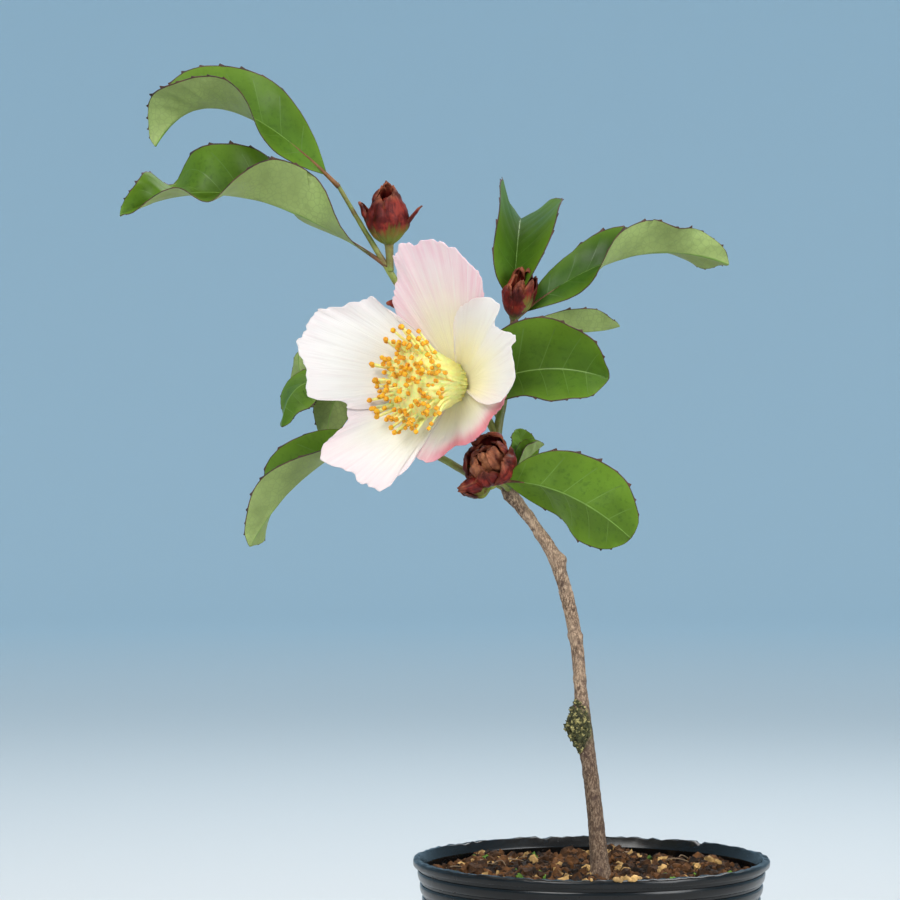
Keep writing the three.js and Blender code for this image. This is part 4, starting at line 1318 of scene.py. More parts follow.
def bark_finish(bark):
    """Grey brown bark: silvery higher up, with dark cracks, pale spots and lichen about the callus."""
    finish = Finish("bark", shine=0.35)
    fibres = finish.noise(1500, 5, 0.72, finish.stretched((1.6, 1.6, 0.6)))
    stops = ((0.36, bark.bark, 0.35), (0.48, bark.bark), (0.58, bark.pale), (0.66, bark.pale, 1.4))
    tone = finish.ramp(fibres, *stops)
    patches = finish.between(finish.noise(160, 4, 0.65), 0.42, 0.6)
    height = finish.add("ShaderNodeSeparateXYZ", {0: finish.place}).outputs["Z"]
    higher = finish.between(height, *SILVER_HEIGHTS)
    worn = finish.blend(finish.times(patches, higher), tone, toned(bark.pale, 1.25), 0.4)
    dusk = finish.blend(finish.between(height, *DUSK_HEIGHTS, 0, 0.45), worn, toned(bark.bark, 0.5))
    blotches = finish.between(finish.noise(340, 4, 0.65), 0.53, 0.66)
    cracked = finish.blend(blotches, dusk, bark.crack, 0.75)
    spots = finish.between(finish.cells(1100), 0.24, 0.14)
    dotted = finish.blend(spots, cracked, toned(bark.pale, 1.15), 0.5)
    callus = {0: finish.place, 1: tuple(part * MM for part in CALLUS["at"])}
    away = finish.add("ShaderNodeVectorMath", callus, operation="DISTANCE").outputs["Value"]
    edge = finish.plus(away, finish.times(finish.noise(300), 0.004))
    stops = ((0.35, bark.lichen, 0.35), (0.52, bark.lichen), (0.66, bark.lichen_pale))
    mould = finish.ramp(finish.noise(900, 4, 0.7), *stops)
    base = finish.blend(finish.between(edge, *MOULD_EDGE), dotted, mould)
    return finish.done(base, finish.varied(fibres, 0.62, 0.9), fibres, 0.0003, 0.8)


def bough_finish(bark):
    """Young green bark, blushed brown red in streaks and freckled."""
    finish = Finish("green_bark", shine=0.45)
    soft = finish.noise(260)
    green = finish.ramp(soft, (0.32, bark.bough, 0.62), (0.55, bark.bough), (0.75, bark.bough, 1.5))
    streaks = finish.between(finish.noise(120, 4, 0.6), 0.46, 0.68)
    base = finish.blend(streaks, green, bark.blush, 0.8)
    freckles = finish.between(finish.cells(1500), 0.2, 0.12)
    dotted = finish.blend(freckles, base, bark.freckle, 0.45)
    return finish.done(dotted, finish.varied(soft, 0.38, 0.6), finish.noise(1400), 0.0001, 0.5)


# Leaves

# Bare stalk as a share of the length, lift of the edges in degrees, least half width, and the columns from
# the midrib to the margin as shares of the half width
LEAF_STALK_SHARE = 0.05
LEAF_CUP = 12
LEAF_FOOT = 0.3
MIDRIB_SHARE = 0.017
MARGIN_SHARE = 0.98
LEAF_COLUMNS = (MIDRIB_SHARE, 0.06, 0.15, 0.28, 0.42, 0.56, 0.7, 0.83, MARGIN_SHARE, 1.0)
# Teeth: the least number, rows along one tooth, how far it stands out at each, its lean, the least and most
# size, and how wide a leaf with full teeth is
LEAST_TEETH = 7
TOOTH_ROWS = (0, 0.4, 0.72, 0.9)
TOOTH_SHAPE = (0, 0.02, 0.2, 1)
TOOTH_LEAN = 0.35
TOOTH_SIZES = (0.3, 1.6)
LARGE_WIDTH = 18
# Veins: the first and last as shares of the length, their pitch, least and most number, how far they slant,
# their half width, and where they end across the leaf
VEIN_RANGE = (0.1, 0.82)
VEIN_PITCH = 7
VEIN_NUMBERS = (4, 9)
VEIN_SKEW = 0.28
VEIN_WIDTH = 0.132
VEIN_END = 0.8
# Relief: width and depth of the groove over the midrib, and height and number of the waves along the edge
GROOVE_WIDTH = 0.07
GROOVE_DEPTH = 0.17
EDGE_WAVE = 0.5
EDGE_WAVES = 2.6
# Finishes of a leaf, in the order of its slots
UPPER, UNDER, VEIN, MIDRIB, MARGIN = range(5)


def leaf_rows(reach, tooth_pitch):
    """Rows of a leaf at its teeth and veins, the veins, their half width and the number of teeth."""
    teeth = max(LEAST_TEETH, round(reach / tooth_pitch))
    toothed = ((np.arange(teeth)[:, None] + np.array(TOOTH_ROWS)) / teeth).ravel()
    veins = np.linspace(*VEIN_RANGE, np.clip(round(reach / VEIN_PITCH), *VEIN_NUMBERS))
    slim = VEIN_WIDTH / max(reach, 20)
    rows = np.unique(np.round(np.concatenate([toothed, veins - slim, veins + slim, [1.0]]), 5))
    return rows, veins, slim, teeth


def leaf_sheet(blade, settings, seed):
    """Places of a leaf with teeth, sunken veins and waved edge, its columns and its vein rows."""
    root, bend, tip = corners(blade)
    reach = np.linalg.norm(bend - root) + np.linalg.norm(tip - bend)
    rows, veins, slim, teeth = leaf_rows(reach * 0.92, settings.tooth_pitch / MM)
    across = np.concatenate([-np.array(LEAF_COLUMNS)[::-1], LEAF_COLUMNS])
    r, u = np.meshgrid(rows, across, indexing="ij")
    side = np.abs(u)
    t = r + VEIN_SKEW * side**0.9 * 4 * r * (1 - r) * 0.6
    saw = np.interp((r * teeth) % 1, [*TOOTH_ROWS, 1], [*TOOTH_SHAPE, 0])
    sizes = np.random.default_rng(seed).uniform(*TOOTH_SIZES, (2, teeth + 1))
    saw *= sizes[(u > 0).astype(int), (r * teeth).astype(int)]
    small = np.clip(blade["width"] / LARGE_WIDTH, 0.45, 1)
    tooth = np.where(side > 0.999, saw, 0) * settings.tooth_depth / MM * small
    tooth = tooth * smooth_step(0.1, 0.25, r) * smooth_step(1, 0.93, r)
    ahead = tooth * TOOTH_LEAN / reach
    sheet = blade_sheet(blade, t + ahead, u, LEAF_CUP, LEAF_FOOT, LEAF_STALK_SHARE, tooth * side)
    gap = np.min(np.abs(r[..., None] - veins), axis=-1) * (len(veins) - 1) / (veins[-1] - veins[0])
    bulge = smooth_step(0, 0.45, gap) * np.sin(np.clip(side, 0, 1) * math.pi) ** 0.7
    ends = smooth_step(0, 0.1, r) * smooth_step(1, 0.9, r)
    groove = np.exp(-((u / GROOVE_WIDTH) ** 2)) * GROOVE_DEPTH * small
    phase = r * math.tau * EDGE_WAVES + seed * 1.7 + np.sign(u)
    wave = blade["wave"] * side**2 * EDGE_WAVE * small * np.sin(phase)
    lift = ends * (bulge * settings.quilting / MM * 1.6 - groove + wave)
    is_vein = np.min(np.abs((rows[:-1] + rows[1:])[:, None] / 2 - veins), axis=1) < slim * 0.9
    return sheet + sheet_normals(sheet) * lift[..., None], across, is_vein


def add_leaf(gathered, blade, settings, seed, cell):
    """One leaf of a spray, with a finish for upper side, underside, veins, midrib and margin."""
    sheet, across, is_vein = leaf_sheet(blade, settings, seed)
    middle = np.abs((across[:-1] + across[1:]) / 2)
    upper = np.full((len(is_vein), len(middle)), UPPER)
    upper[is_vein[:, None] & (middle < VEIN_END)] = VEIN
    under = np.full_like(upper, UNDER)
    for faces in (upper, under):
        faces[:, middle < MIDRIB_SHARE] = MIDRIB
        faces[:, middle > MARGIN_SHARE] = MARGIN
    side = np.abs(across)
    thick = settings.thickness / MM * (1 - 0.55 * side**3) * (1 + 0.5 * np.exp(-((across / 0.05) ** 2)))
    values = {"fresh": (blade["fresh"], blade["fresh"]), "rim": (side, side)}
    add_sheet(gathered, sheet, thick[None, :], (upper, under, MARGIN), cell, values)


def leaf_finishes(settings):
    """Finishes of the leaves in the order of their slots, by how fresh each leaf is."""
    greens = (settings.deep, settings.fresh)
    upper = Finish("leaf_upper", shine=0.2)
    soft = upper.noise(70)
    tone = upper.blend(upper.own("fresh"), *(upper.shades(soft, tint, 0.25) for tint in greens))
    fine = upper.noise(900, 2)
    grained = upper.blend(upper.between(fine, 0.52, 0.72, 0, 0.4), tone, toned(settings.deep, 0.7))
    base = upper.blend(upper.between(upper.own("rim"), 0.45, 1, 0, 0.4), grained, settings.fresh)
    done = [upper.done(base, upper.varied(soft, 0.38, 0.52), fine, 0.00012, 0.35)]
    under = Finish("leaf_under", shine=0.3)
    net = under.cells(700, "DISTANCE_TO_EDGE")
    pale = under.shades(under.noise(90), settings.under, 0.2)
    veined = under.blend(under.between(net, 0.12, 0, 0, 0.42), pale, toned(settings.under, 0.62))
    done.append(under.done(veined, under.between(net, 0, 0.2, 0.5, 0.7), net, 0.0001, 0.4))
    for name, part in (("leaf_vein", 0.06), ("leaf_midrib", 0.5)):
        line = Finish(name, shine=0.4)
        cloud = line.noise(300)
        tints = [mixed(np.array(tint), np.array(settings.vein), part) for tint in greens]
        base = line.blend(line.own("fresh"), *(line.shades(cloud, tint, 0.2) for tint in tints))
        done.append(line.done(base, line.varied(cloud, 0.35, 0.55)))
    return [*done, mottled_finish("leaf_margin", settings.margin, 420, 0.75, (0.45, 0.65))]


# Buds and flower

# Sepals: rows and columns, least half width, thickness, crinkle, and how far their edges turn pale tan
SEPAL_ROWS = 22
SEPAL_COLUMNS = 15
SEPAL_FOOT = 0.8
SEPAL_THICK = 0.3
CRINKLE = 1.15
PALE_EDGE = 0.4
# Buds: foot and belly of the sepals as shares of radius and length, their taper, and their fold in degrees
BUD_FOOT = 0.22
BUD_BELLY = 0.36
BUD_TAPER = (0.5, 0.55)
BUD_CUP = 58
# Heart of a bud, as shares of its length and radius, and the number, depth and twist of its folds
HEART_MIDDLE = 0.36
HEART_TALL = 0.38
HEART_WIDE = 0.6
HEART_FOLDS = 5
HEART_FOLD = 0.12
HEART_TWIST = 0.9
# Calyx: sepals, the first one's angle, the fold of their edges, their root, bend and tip as distance and
# height, their width and taper, and how green they are
CALYX_COUNT = 5
CALYX_TURN = 54
CALYX_CUP = 30
CALYX_CURVE = ((1.2, -1.6), (7, -1.2), (11, 1.6))
CALYX_WIDTH = 8.5
CALYX_TAPER = (0.5, 0.5)
CALYX_GREEN = 0.8
# Petals: rows and columns, and how many frills run along a rim
PETAL_ROWS = 32
PETAL_COLUMNS = 169
FRILLS = 40
# Stamens: a filament's way out and up and its thickness, and half widths and shift of an anther's two lobes,
# as shares of their length and radii
FILAMENT_CURVE = ((0, 0, 1.2), (-0.06, 0.35, 1), (-0.05, 0.7, 0.9), (0.02, 1, 0.7))
ANTHER_LOBE = (0.66, 0.9, 1)
ANTHER_SHIFT = 0.3
# Sheath of joined filaments: its sides and ribs, and its profile as shares of its height and flared width
SHEATH_SIDES = 96
SHEATH_RIBS = 32
SHEATH_RIB = 0.07
SHEATH_FLARE = 0.8
SHEATH_RISE = np.array([0, 0.06, 0.16, 0.3, 0.5, 0.68, 0.8, 0.87, 0.89])
SHEATH_WIDTH = np.array([0.75, 0.92, 1.02, 1, 1, 0.98, 0.85, 0.5, 0.1])


def frame_of(forward):
    """Right, up and forward directions for something that points forward."""
    forward = unit(forward)
    up = (0, 1, 0) if abs(forward[2]) > STEEP else UPWARD
    right = unit(np.cross(up, forward))
    return np.array([right, np.cross(forward, right), forward])


def standing(basis, at):
    """The matrix of something at a place with its axes along a basis."""
    place = Matrix.Identity(4)
    for k in range(3):
        place.col[k][:3] = basis[k]
    place.col[3][:3] = at
    return place


def sepal_blade(angle, root, bend, tip, face, width, taper):
    """A sepal's blade at an angle round an axis, from distances out of it and heights along it."""
    turn = math.radians(angle)

    def at(spot):
        distance, height = spot
        return (distance * math.cos(turn), distance * math.sin(turn), height)

    return dict(
        root=at(root), bend=at(bend), tip=at(tip), face=at(face), width=width, taper=taper, twist=0,
        left=[0, 0], right=[0, 0],
    )


def add_sepal(gathered, blade, basis, seat, seed, cup, cell, green, tan):
    """A sepal with a crinkled edge, carried from the bud's or flower's frame to the plant."""
    t, u = np.meshgrid(np.linspace(0, 1, SEPAL_ROWS) ** 0.9, np.linspace(-1, 1, SEPAL_COLUMNS), indexing="ij")
    sheet = blade_sheet(blade, t, u, cup, SEPAL_FOOT)
    scale = blade["width"] / 10
    spot = rows_of(u * 1.6, t * 3.2, seed * 3.7)
    crinkle = lumps(spot, 0.55, seed) + 0.6 * lumps(spot, 0.25, seed + 1)
    sheet = sheet + sheet_normals(sheet) * (crinkle * CRINKLE * scale * (0.25 + np.abs(u)) * t)[..., None]
    maps = {PETAL_MAP: rows_of(u / 2 + 0.5, t)}
    # The edges, at the sides and the tip, turn pale tan
    dry = np.maximum(tan, PALE_EDGE * smooth_step(0.82, 1, np.maximum(np.abs(u), t)))
    values = {"green": (green, green), "tan": (dry, dry)}
    add_sheet(gathered, sheet @ basis + seat, SEPAL_THICK, (0, 0, 0), cell, values, maps)


def bud_seat(spec):
    """The frame of a bud, and the end of its neck where its sepals sit."""
    basis = frame_of(spec["toward"])
    return basis, np.array(spec["at"], float) + basis[2] * spec["neck"]


def add_bud(gathered, spec, index, cell_list):
    """The sepals of a bud, folded about its heart."""
    basis, seat = bud_seat(spec)
    size, radius = spec["length"], spec["radius"]
    root = (radius * BUD_FOOT, 0)
    for k, (angle, out, tall, wide, belly, *shades) in enumerate(spec["sepals"]):
        green, tan = (*shades, 0, 0)[:2]
        bend, tip = (radius * belly, size * BUD_BELLY), (radius * out, size * tall)
        blade = sepal_blade(angle, root, bend, tip, (-1, 0), radius * wide, BUD_TAPER)
        add_sepal(gathered, blade, basis, seat, 10 * index + k, BUD_CUP, next(cell_list), green, tan)


def bud_heart(gathered, spec):
    """The closed petals inside a bud."""
    basis, seat = bud_seat(spec)
    wide, size = spec["radius"] * HEART_WIDE, spec["length"]
    places = ball((0, 0, size * HEART_MIDDLE), (wide, wide, size * HEART_TALL), 30, 18)
    turn = HEART_FOLDS * np.arctan2(places[..., 1], places[..., 0])
    folds = 1 + HEART_FOLD * np.sin(turn + places[..., 2] * HEART_TWIST)
    places[..., :2] *= folds[..., None]
    gathered.add(*closed_tube(places @ basis + seat))


def sepal_finish(flower):
    """Brown red sepals: green from the foot up, with pale tan edges, dark streaks and a painted highlight on
    their folds.
    """
    finish = Finish("sepal", shine=0.2)
    spot = finish.blade_place()
    height = finish.add("ShaderNodeSeparateXYZ", {0: spot}).outputs["Y"]
    streak = finish.noise(3.2, 4, 0.6, finish.stretched((5, 1.1, 1), spot))
    soft = finish.noise(260, 4, 0.6)
    folds = finish.plus(finish.times(streak, 0.3), finish.times(soft, 0.7))
    # Darker red, plain red and a painted highlight for the lit folds, along the fold noise
    red = finish.ramp(folds, (0.38, flower.sepal, 0.35), (0.5, flower.sepal), (0.6, flower.sepal_highlight))
    climb = finish.math("SUBTRACT", height, finish.times(finish.own("green"), 0.62))
    foot = finish.between(finish.plus(climb, finish.times(streak, 0.5)), 0.42, 0.12)
    leafy = finish.blend(foot, red, flower.sepal_green, 0.9)
    dry = finish.times(finish.own("tan"), finish.between(soft, 0.35, 0.62))
    base = finish.blend(dry, leafy, flower.sepal_tan)
    return finish.done(base, finish.varied(soft, 0.38, 0.6), streak, 0.0003, 0.4)


def petal_sheet(spec, index, ruffle):
    """Places of a petal in the flower's own frame: rays from its seat to a frilled rim, on the bowl."""
    rim = np.array(spec["rim"], float)
    across = np.linspace(0, 1, PETAL_COLUMNS)
    s, c = np.meshgrid(1 - (1 - np.linspace(0, 1, PETAL_ROWS)) ** 1.35, across, indexing="ij")
    turn = np.radians(along(rim[:, 0], across))
    frill = rows_of(across * FRILLS, 7.3 * index, 0.0)
    reach = along(rim[:, 1], across) * (1 + 0.022 * lumps(frill, 1.3, 50) + 0.014 * lumps(frill, 0.55, 51))
    seat_turn = np.radians(mixed(rim[0, 0], rim[-1, 0], across))
    start = PETAL_SEAT * rows_of(np.cos(seat_turn), np.sin(seat_turn))
    end = reach[:, None] * rows_of(np.cos(turn), np.sin(turn))
    flat = start + (end - start) * s[..., None]
    radius = np.linalg.norm(flat, axis=-1)
    height = BOWL_HEIGHT * (radius / BOWL_RADIUS) ** BOWL_POWER + spec["above"] * smooth_step(0.05, 0.5, s)
    spot = rows_of(c * 14, s * 2.5, 5.1 * index)
    waves = lumps(spot, 1.6, 80) + 0.6 * lumps(spot, 0.7, 81)
    fine = lumps(spot, 0.42, 83)
    folds = lumps(spot * np.array([2.2, 0.4, 1]), 1.0, 82)
    height += ruffle * (s**4 * waves + 0.4 * s**9 * fine) + 0.13 * folds * smooth_step(0.1, 0.5, s)
    return np.concatenate([flat, height[..., None]], axis=-1), s, c


def add_petal(gathered, spec, index, flower, basis, seat, cell):
    """One petal, with the shares of colour that its places carry on both sides."""
    sheet, s, c = petal_sheet(spec, index, flower.ruffle / MM)
    pink = spec["pink"] * smooth_step(spec["pink_from"], 1.05, s)
    cream = spec["cream"] * smooth_step(0.95, 0.1, s)
    rosy = spec.get("rosy", 0) * smooth_step(0.2, 0.6, s)
    deep = spec.get("deep", 0) * smooth_step(0.72, 0.98, s)
    deep = deep * smooth_step(0.2, 0.4, c) * smooth_step(0.95, 0.75, c)
    maps = {PETAL_MAP: rows_of(c, s)}
    values = {"pink": (pink, np.maximum(pink, 0.3 * s)), "cream": (cream, cream), "rosy": (deep, rosy)}
    thick = flower.petal_thickness / MM * (1 - 0.6 * s**3)
    add_sheet(gathered, sheet @ basis + seat, thick, (0, 0, 0), cell, values, maps)


def petal_finish(flower):
    """White petals, finely veined, and creamy, pink and rosy by the shares of each place."""
    glow = dict(Subsurface_Weight=0.35, Subsurface_Scale=0.003, Subsurface_Radius=(1.0, 0.85, 0.75))
    finish = Finish("petal", shine=0.2, **glow)
    streak = finish.noise(1.5, 3, 0.6, finish.stretched((46, 1.2, 1), finish.blade_place()))
    white = finish.blend(finish.own("cream"), flower.petal, flower.cream)
    cloud = finish.noise(90)
    veined = finish.times(finish.own("pink"), finish.between(streak, 0.3, 0.68, 0.5, 1.1))
    pink = finish.blend(finish.times(veined, finish.varied(cloud, 0.75, 1.1)), white, flower.blush)
    lined = finish.blend(finish.between(streak, 0.52, 0.7, 0, 0.22), pink, flower.vein)
    deep = finish.blend(finish.own("rosy"), lined, flower.rose)
    return finish.done(deep, finish.varied(cloud, 0.5, 0.65), streak, 0.0004, 0.5)


def stamen_shapes(flower):
    """One filament and its anther, as meshes that stand up from the origin."""
    tall = flower.stamen_length / MM
    thin = flower.filament_radius / MM
    size = flower.anther_radius / MM
    thread, head = Gathered(), Gathered()
    stations = [(out * tall, 0, up * tall, thin * part) for out, up, part in FILAMENT_CURVE]
    add_tube(thread, stations, 5, tall / 9)
    end = FILAMENT_CURVE[-1][0] * tall
    for side in (-1, 1):
        middle = (end + side * size * ANTHER_SHIFT, 0, tall + size * ANTHER_SHIFT)
        head.add(*closed_tube(ball(middle, [size * part for part in ANTHER_LOBE], 7, 4)))
    return thread.mesh("filament_shape"), head.mesh("anther_shape")


def sheath_rings(flower):
    """Rings of the ribbed sheath of joined filaments, standing up from the origin."""
    flared = SHEATH_FLARE * SHEATH_RISE * flower.stamen_length * math.sin(flower.stamen_spread)
    wide = (flared + flower.stamen_base) / MM * SHEATH_WIDTH
    rings = turned(np.column_stack([wide, SHEATH_RISE * flower.stamen_length / MM]), SHEATH_SIDES)
    ribs = 1 + SHEATH_RIB * np.cos(even_turns(SHEATH_SIDES) * SHEATH_RIBS)
    rings[..., :2] *= ribs[:, None]
    return rings


# Stage

# Floor, in metres: radii of its flat rings, the bend up to the backdrop, the backdrop's top, and the fade
FLOOR_RADII = (0.02, 0.3, 1.0, 2.0)
BEND_FROM = 2.6
BEND_RADIUS = 1.4
BEND_STEPS = 24
BACKDROP_EDGE = (4.0, 3.4)
STAGE_SIDES = 96
FLOOR_FADE = (0.35, 2.4)
# Lamps, in metres: where each stands, its width, its tint and its spread in degrees. All face the plant
WHITE = (1.0, 1.0, 1.0)
LAMPS = {
    "key": ((-0.7, -1.3, 1.05), 0.9, (1.0, 0.985, 0.96), 80),
    "fill": ((1.15, -0.9, 0.55), 1.0, WHITE, 80),
    "back": ((0.35, 0.85, 1.2), 0.9, WHITE, 110),
    "wall": ((0.0, 0.0, 3.3), 5.0, WHITE, 180),
}
PLANT_MIDDLE = (-0.03, 0.0, 0.16)


def floor_mesh(stage):
    """A round floor that bends up into a backdrop on all sides."""
    angles = np.linspace(0, math.pi / 2, BEND_STEPS)
    bend = [(BEND_FROM + BEND_RADIUS * math.sin(a), BEND_RADIUS - BEND_RADIUS * math.cos(a)) for a in angles]
    rings = turned([*((radius, 0.0) for radius in FLOOR_RADII), *bend, BACKDROP_EDGE], STAGE_SIDES)
    finish = Finish("studio_paper", Roughness=0.9, shine=0.2)
    away = finish.add("ShaderNodeVectorMath", {0: finish.place}, operation="LENGTH").outputs["Value"]
    tint = finish.blend(finish.between(away, *FLOOR_FADE), stage.floor, stage.backdrop)
    places, quads, middle, _ = closed_tube(rings / MM)
    paper = Gathered(places[:-1], quads[:, ::-1], middle[:, ::-1])
    return paper.mesh("studio_floor", [finish.done(tint)])


def set_lamps(stage):
    """Round lamps that light the plant."""
    for name, (at, size, tint, spread) in LAMPS.items():
        lamp = bpy.data.lights.new(name + "_light", "AREA")
        lamp.shape = "DISK"
        lamp.size = size
        lamp.energy = getattr(stage, name + "_power")
        lamp.spread = math.radians(spread)
        lamp.color = tint
        basis = frame_of(np.subtract(at, PLANT_MIDDLE))
        linked(lamp.name, lamp).matrix_world = standing(basis, at)


def set_air(scene, strength):
    """Even white light from all sides."""
    world = bpy.data.worlds.new("studio_air")
    world.use_nodes = True
    air = world.node_tree.nodes["Background"]
    air.inputs["Color"].default_value = (*WHITE, 1)
    air.inputs["Strength"].default_value = strength
    scene.world = world


def set_camera(scene):
    """The photo's view."""
    lens = bpy.data.cameras.new("photo_camera")
    lens.sensor_width = SENSOR_WIDTH
    lens.lens = CAMERA_LENS
    lens.clip_start = CAMERA_NEAR
    camera = linked("photo_camera", lens)
    camera.location = CAMERA_AT
    camera.rotation_euler = (math.pi / 2, 0, 0)
    scene.camera = camera


# Operators, one for each piece or group of pieces
class BONSAI_OT_pot(bpy.types.Operator):
    """Make the black nursery pot with its ribs, worn rim and drain holes"""

    bl_idname = "bonsai.make_pot"
    bl_label = "Pot"

    def execute(self, context):
        pot = context.scene.bonsai_pot
        shell = drilled(pot_mesh(pot, plastic_finish(pot)))
        shell.set_sharp_from_angle(angle=SHARP_ANGLE)
        placed("pot_shell", shell, "pot", "pot")
        return {"FINISHED"}


class BONSAI_OT_soil(bpy.types.Operator):
    """Make the potting mix: its ground, crumbs, humus, gravel, moss, root fibres and the stones on the lip"""

    bl_idname = "bonsai.make_soil"
    bl_label = "Soil"

    def execute(self, context):
        pot = context.scene.bonsai_pot
        rings = soil_surface(pot)
        earth = mottled_finish("soil_ground", toned(pot.humus, 1.2), 220, 0.6, (0.85, 1.0), 900, 0.0006)
        Gathered(*closed_tube(rings)).piece("soil_ground", [earth], "soil", "soil")
        inside = rings[2:]
        open_ground = Gathered(inside, ring_faces(inside)).mesh("open_ground")
        kinds = (
            ("soil_humus", pot.humus, pot.humus_count, (0.35, 1.2), 0.1, 6, 0.2),
            ("soil_crumbs", pot.crumb, pot.crumb_count, (0.35, 1.15), 0.3, 5, 0.2),
            ("soil_clods", toned(pot.crumb, 0.45), pot.clod_count, (0.8, 1.7), 0.15, 12, 0.1),
            ("soil_gravel", pot.gravel, pot.gravel_count, (0.4, 1.35), 0.5, 9, 0.25),
            ("soil_moss", pot.moss, pot.moss_count, (0.3, 1.1), 0.6, 18, 0.0),
        )
        for name, tint, number, shares, lift, seed, roundness in kinds:
            finish = mottled_finish(name, tint, 420, 0.7, (0.75, 1.0), 2500, 0.0003, shine=0.3)
            sizes = [part * pot.crumb_size for part in shares]
            mesh = strewn(name, open_ground, roundness, number, sizes, lift, seed, finish)
            placed(name, mesh, "soil", "soil")
        fibre = mottled_finish("soil_fibres", pot.fibre, 500, 0.5, (0.7, 0.9))
        soil_fibres(pot).piece("soil_fibres", [fibre], "soil", "soil")
        stones = Gathered()
        for k, (*at, radius) in enumerate(LIP_STONES):
            add_stone(stones, at, radius, 90 + 2 * k)
        tan = mottled_finish("lip_stones", toned(pot.gravel, 1.2), 500, 0.5, (0.7, 0.95), 2500, 0.0002)
        stones.piece("lip_stones", [tan], "soil", "soil")
        return {"FINISHED"}


class BONSAI_OT_trunk(bpy.types.Operator):
    """Make the trunk with its bark relief, root flare, callus and lichen flakes"""

    bl_idname = "bonsai.make_trunk"
    bl_label = "Trunk"

    def execute(self, context):
        bark = context.scene.bonsai_bark
        trunk = Gathered()
        places = add_tube(trunk, TRUNK, TRUNK_SIDES, TRUNK_STEP, bark_relief(bark))
        trunk.piece("trunk_bark", [bark_finish(bark)], "bark", "trunk")
        near = np.linalg.norm((places - np.array(CALLUS["at"])) / CRUST_REACH, axis=-1)
        faces = ring_faces(places)
        crust = faces[np.all(near.ravel()[faces] < 1, axis=1)]
        ground = Gathered(places, crust).mesh("callus_ground")
        kinds = (
            ("callus_moss", bark.lichen, bark.flake_count, 61, 0.8),
            ("callus_lichen", bark.flake, bark.flake_count // 3, 62, 0.4),
        )
        for name, tint, number, seed, spread in kinds:
            finish = mottled_finish(name, tint, 900, spread, (0.8, 1.0))
            mesh = strewn(name, ground, 0.1, number, FLAKE_SIZES, 0.25, seed, finish)
            placed(name, mesh, "bark", "trunk")
        return {"FINISHED"}


class BONSAI_OT_boughs(bpy.types.Operator):
    """Make the young boughs that leave the trunk"""

    bl_idname = "bonsai.make_boughs"
    bl_label = "Boughs"

    def execute(self, context):
        finish = bough_finish(context.scene.bonsai_bark)
        for index, (name, stations) in enumerate(BOUGHS.items()):
            bough = Gathered()
            relief = grain((0.07, 1.6, 30 + index), (0.03, 0.5, 35 + index))
            add_tube(bough, stations, BOUGH_SIDES, TWIG_STEP, relief)
            bough.piece(name + "_bark", [finish], "green_bark", name)
        return {"FINISHED"}


class BONSAI_OT_twigs(bpy.types.Operator):
    """Make the stems of the sprays, the leaf stalks, the necks of the buds and the flower's stalk"""

    bl_idname = "bonsai.make_twigs"
    bl_label = "Twigs"

    def execute(self, context):
        bark = context.scene.bonsai_bark
        stalk_radii = context.scene.bonsai_leaf.stalk / MM * np.array(STALK_RADII)
        twigs = Gathered()
        relief = grain((0.05, 1.4, 38))
        for spray in SPRAYS.values():
            add_tube(twigs, spray["stem"], TWIG_SIDES, TWIG_STEP, relief)
            for blade in spray["leaves"]:
                run, _ = midrib(blade, STALK_SHARES)
                add_tube(twigs, np.column_stack([run, stalk_radii]), STALK_SIDES, TWIG_STEP, slot=1)
            for spec in spray.get("buds", ()):
                (_, _, way), seat = bud_seat(spec)
                joint = (*(seat - way * NECK_BEFORE), NECK_JOINT)
                top = (*(seat + way * NECK_BEYOND), spec["radius"] * NECK_SHARE)
                add_tube(twigs, [(*spec["at"], NECK_RADIUS), joint, top], TWIG_SIDES, NECK_STEP)
        add_tube(twigs, FLOWER_STALK, TWIG_SIDES, TWIG_STEP, relief)
        stalk = mottled_finish("leaf_stalk", bark.stalk, 330, 0.6, (0.4, 0.55))
        twigs.piece("twigs", [bough_finish(bark), stalk], "green_bark", *SPRAYS)
        return {"FINISHED"}


class BONSAI_OT_leaves(bpy.types.Operator):
    """Make the leaves of each spray, with veins, toothed red margins and pale undersides"""

    bl_idname = "bonsai.make_leaves"
    bl_label = "Leaves"

    def execute(self, context):
        settings = context.scene.bonsai_leaf
        finishes = leaf_finishes(settings)
        for index, (name, spray) in enumerate(SPRAYS.items()):
            gathered = Gathered()
            for k, (blade, cell) in enumerate(zip(spray["leaves"], cells(len(spray["leaves"])))):
                add_leaf(gathered, blade, settings, 5 * index + k, cell)
            gathered.piece(name.replace("foliage", "leaves"), finishes, "leaf", name)
        return {"FINISHED"}


class BONSAI_OT_buds(bpy.types.Operator):
    """Make the brown red buds, each with its sepals folded about a closed heart"""

    bl_idname = "bonsai.make_buds"
    bl_label = "Buds"

    def execute(self, context):
        flower = context.scene.bonsai_flower
        specs = [spec for spray in SPRAYS.values() for spec in spray.get("buds", ())]
        cell_list = iter(cells(sum(len(spec["sepals"]) for spec in specs)))
        sepals, hearts = Gathered(), Gathered()
        for index, spec in enumerate(specs):
            add_bud(sepals, spec, index, cell_list)
            bud_heart(hearts, spec)
        nodes = [name for name, spray in SPRAYS.items() if "buds" in spray]
        sepals.piece("bud_sepals", [sepal_finish(flower)], "leaf", *nodes)
        # The hearts take the sepals' painted highlight tint, darkened, as their own tint
        heart = mottled_finish("bud_heart", toned(flower.sepal_highlight, 0.8), 260, 0.65, (0.4, 0.6))
        hearts.piece("bud_hearts", [heart], "leaf", *nodes)
        return {"FINISHED"}


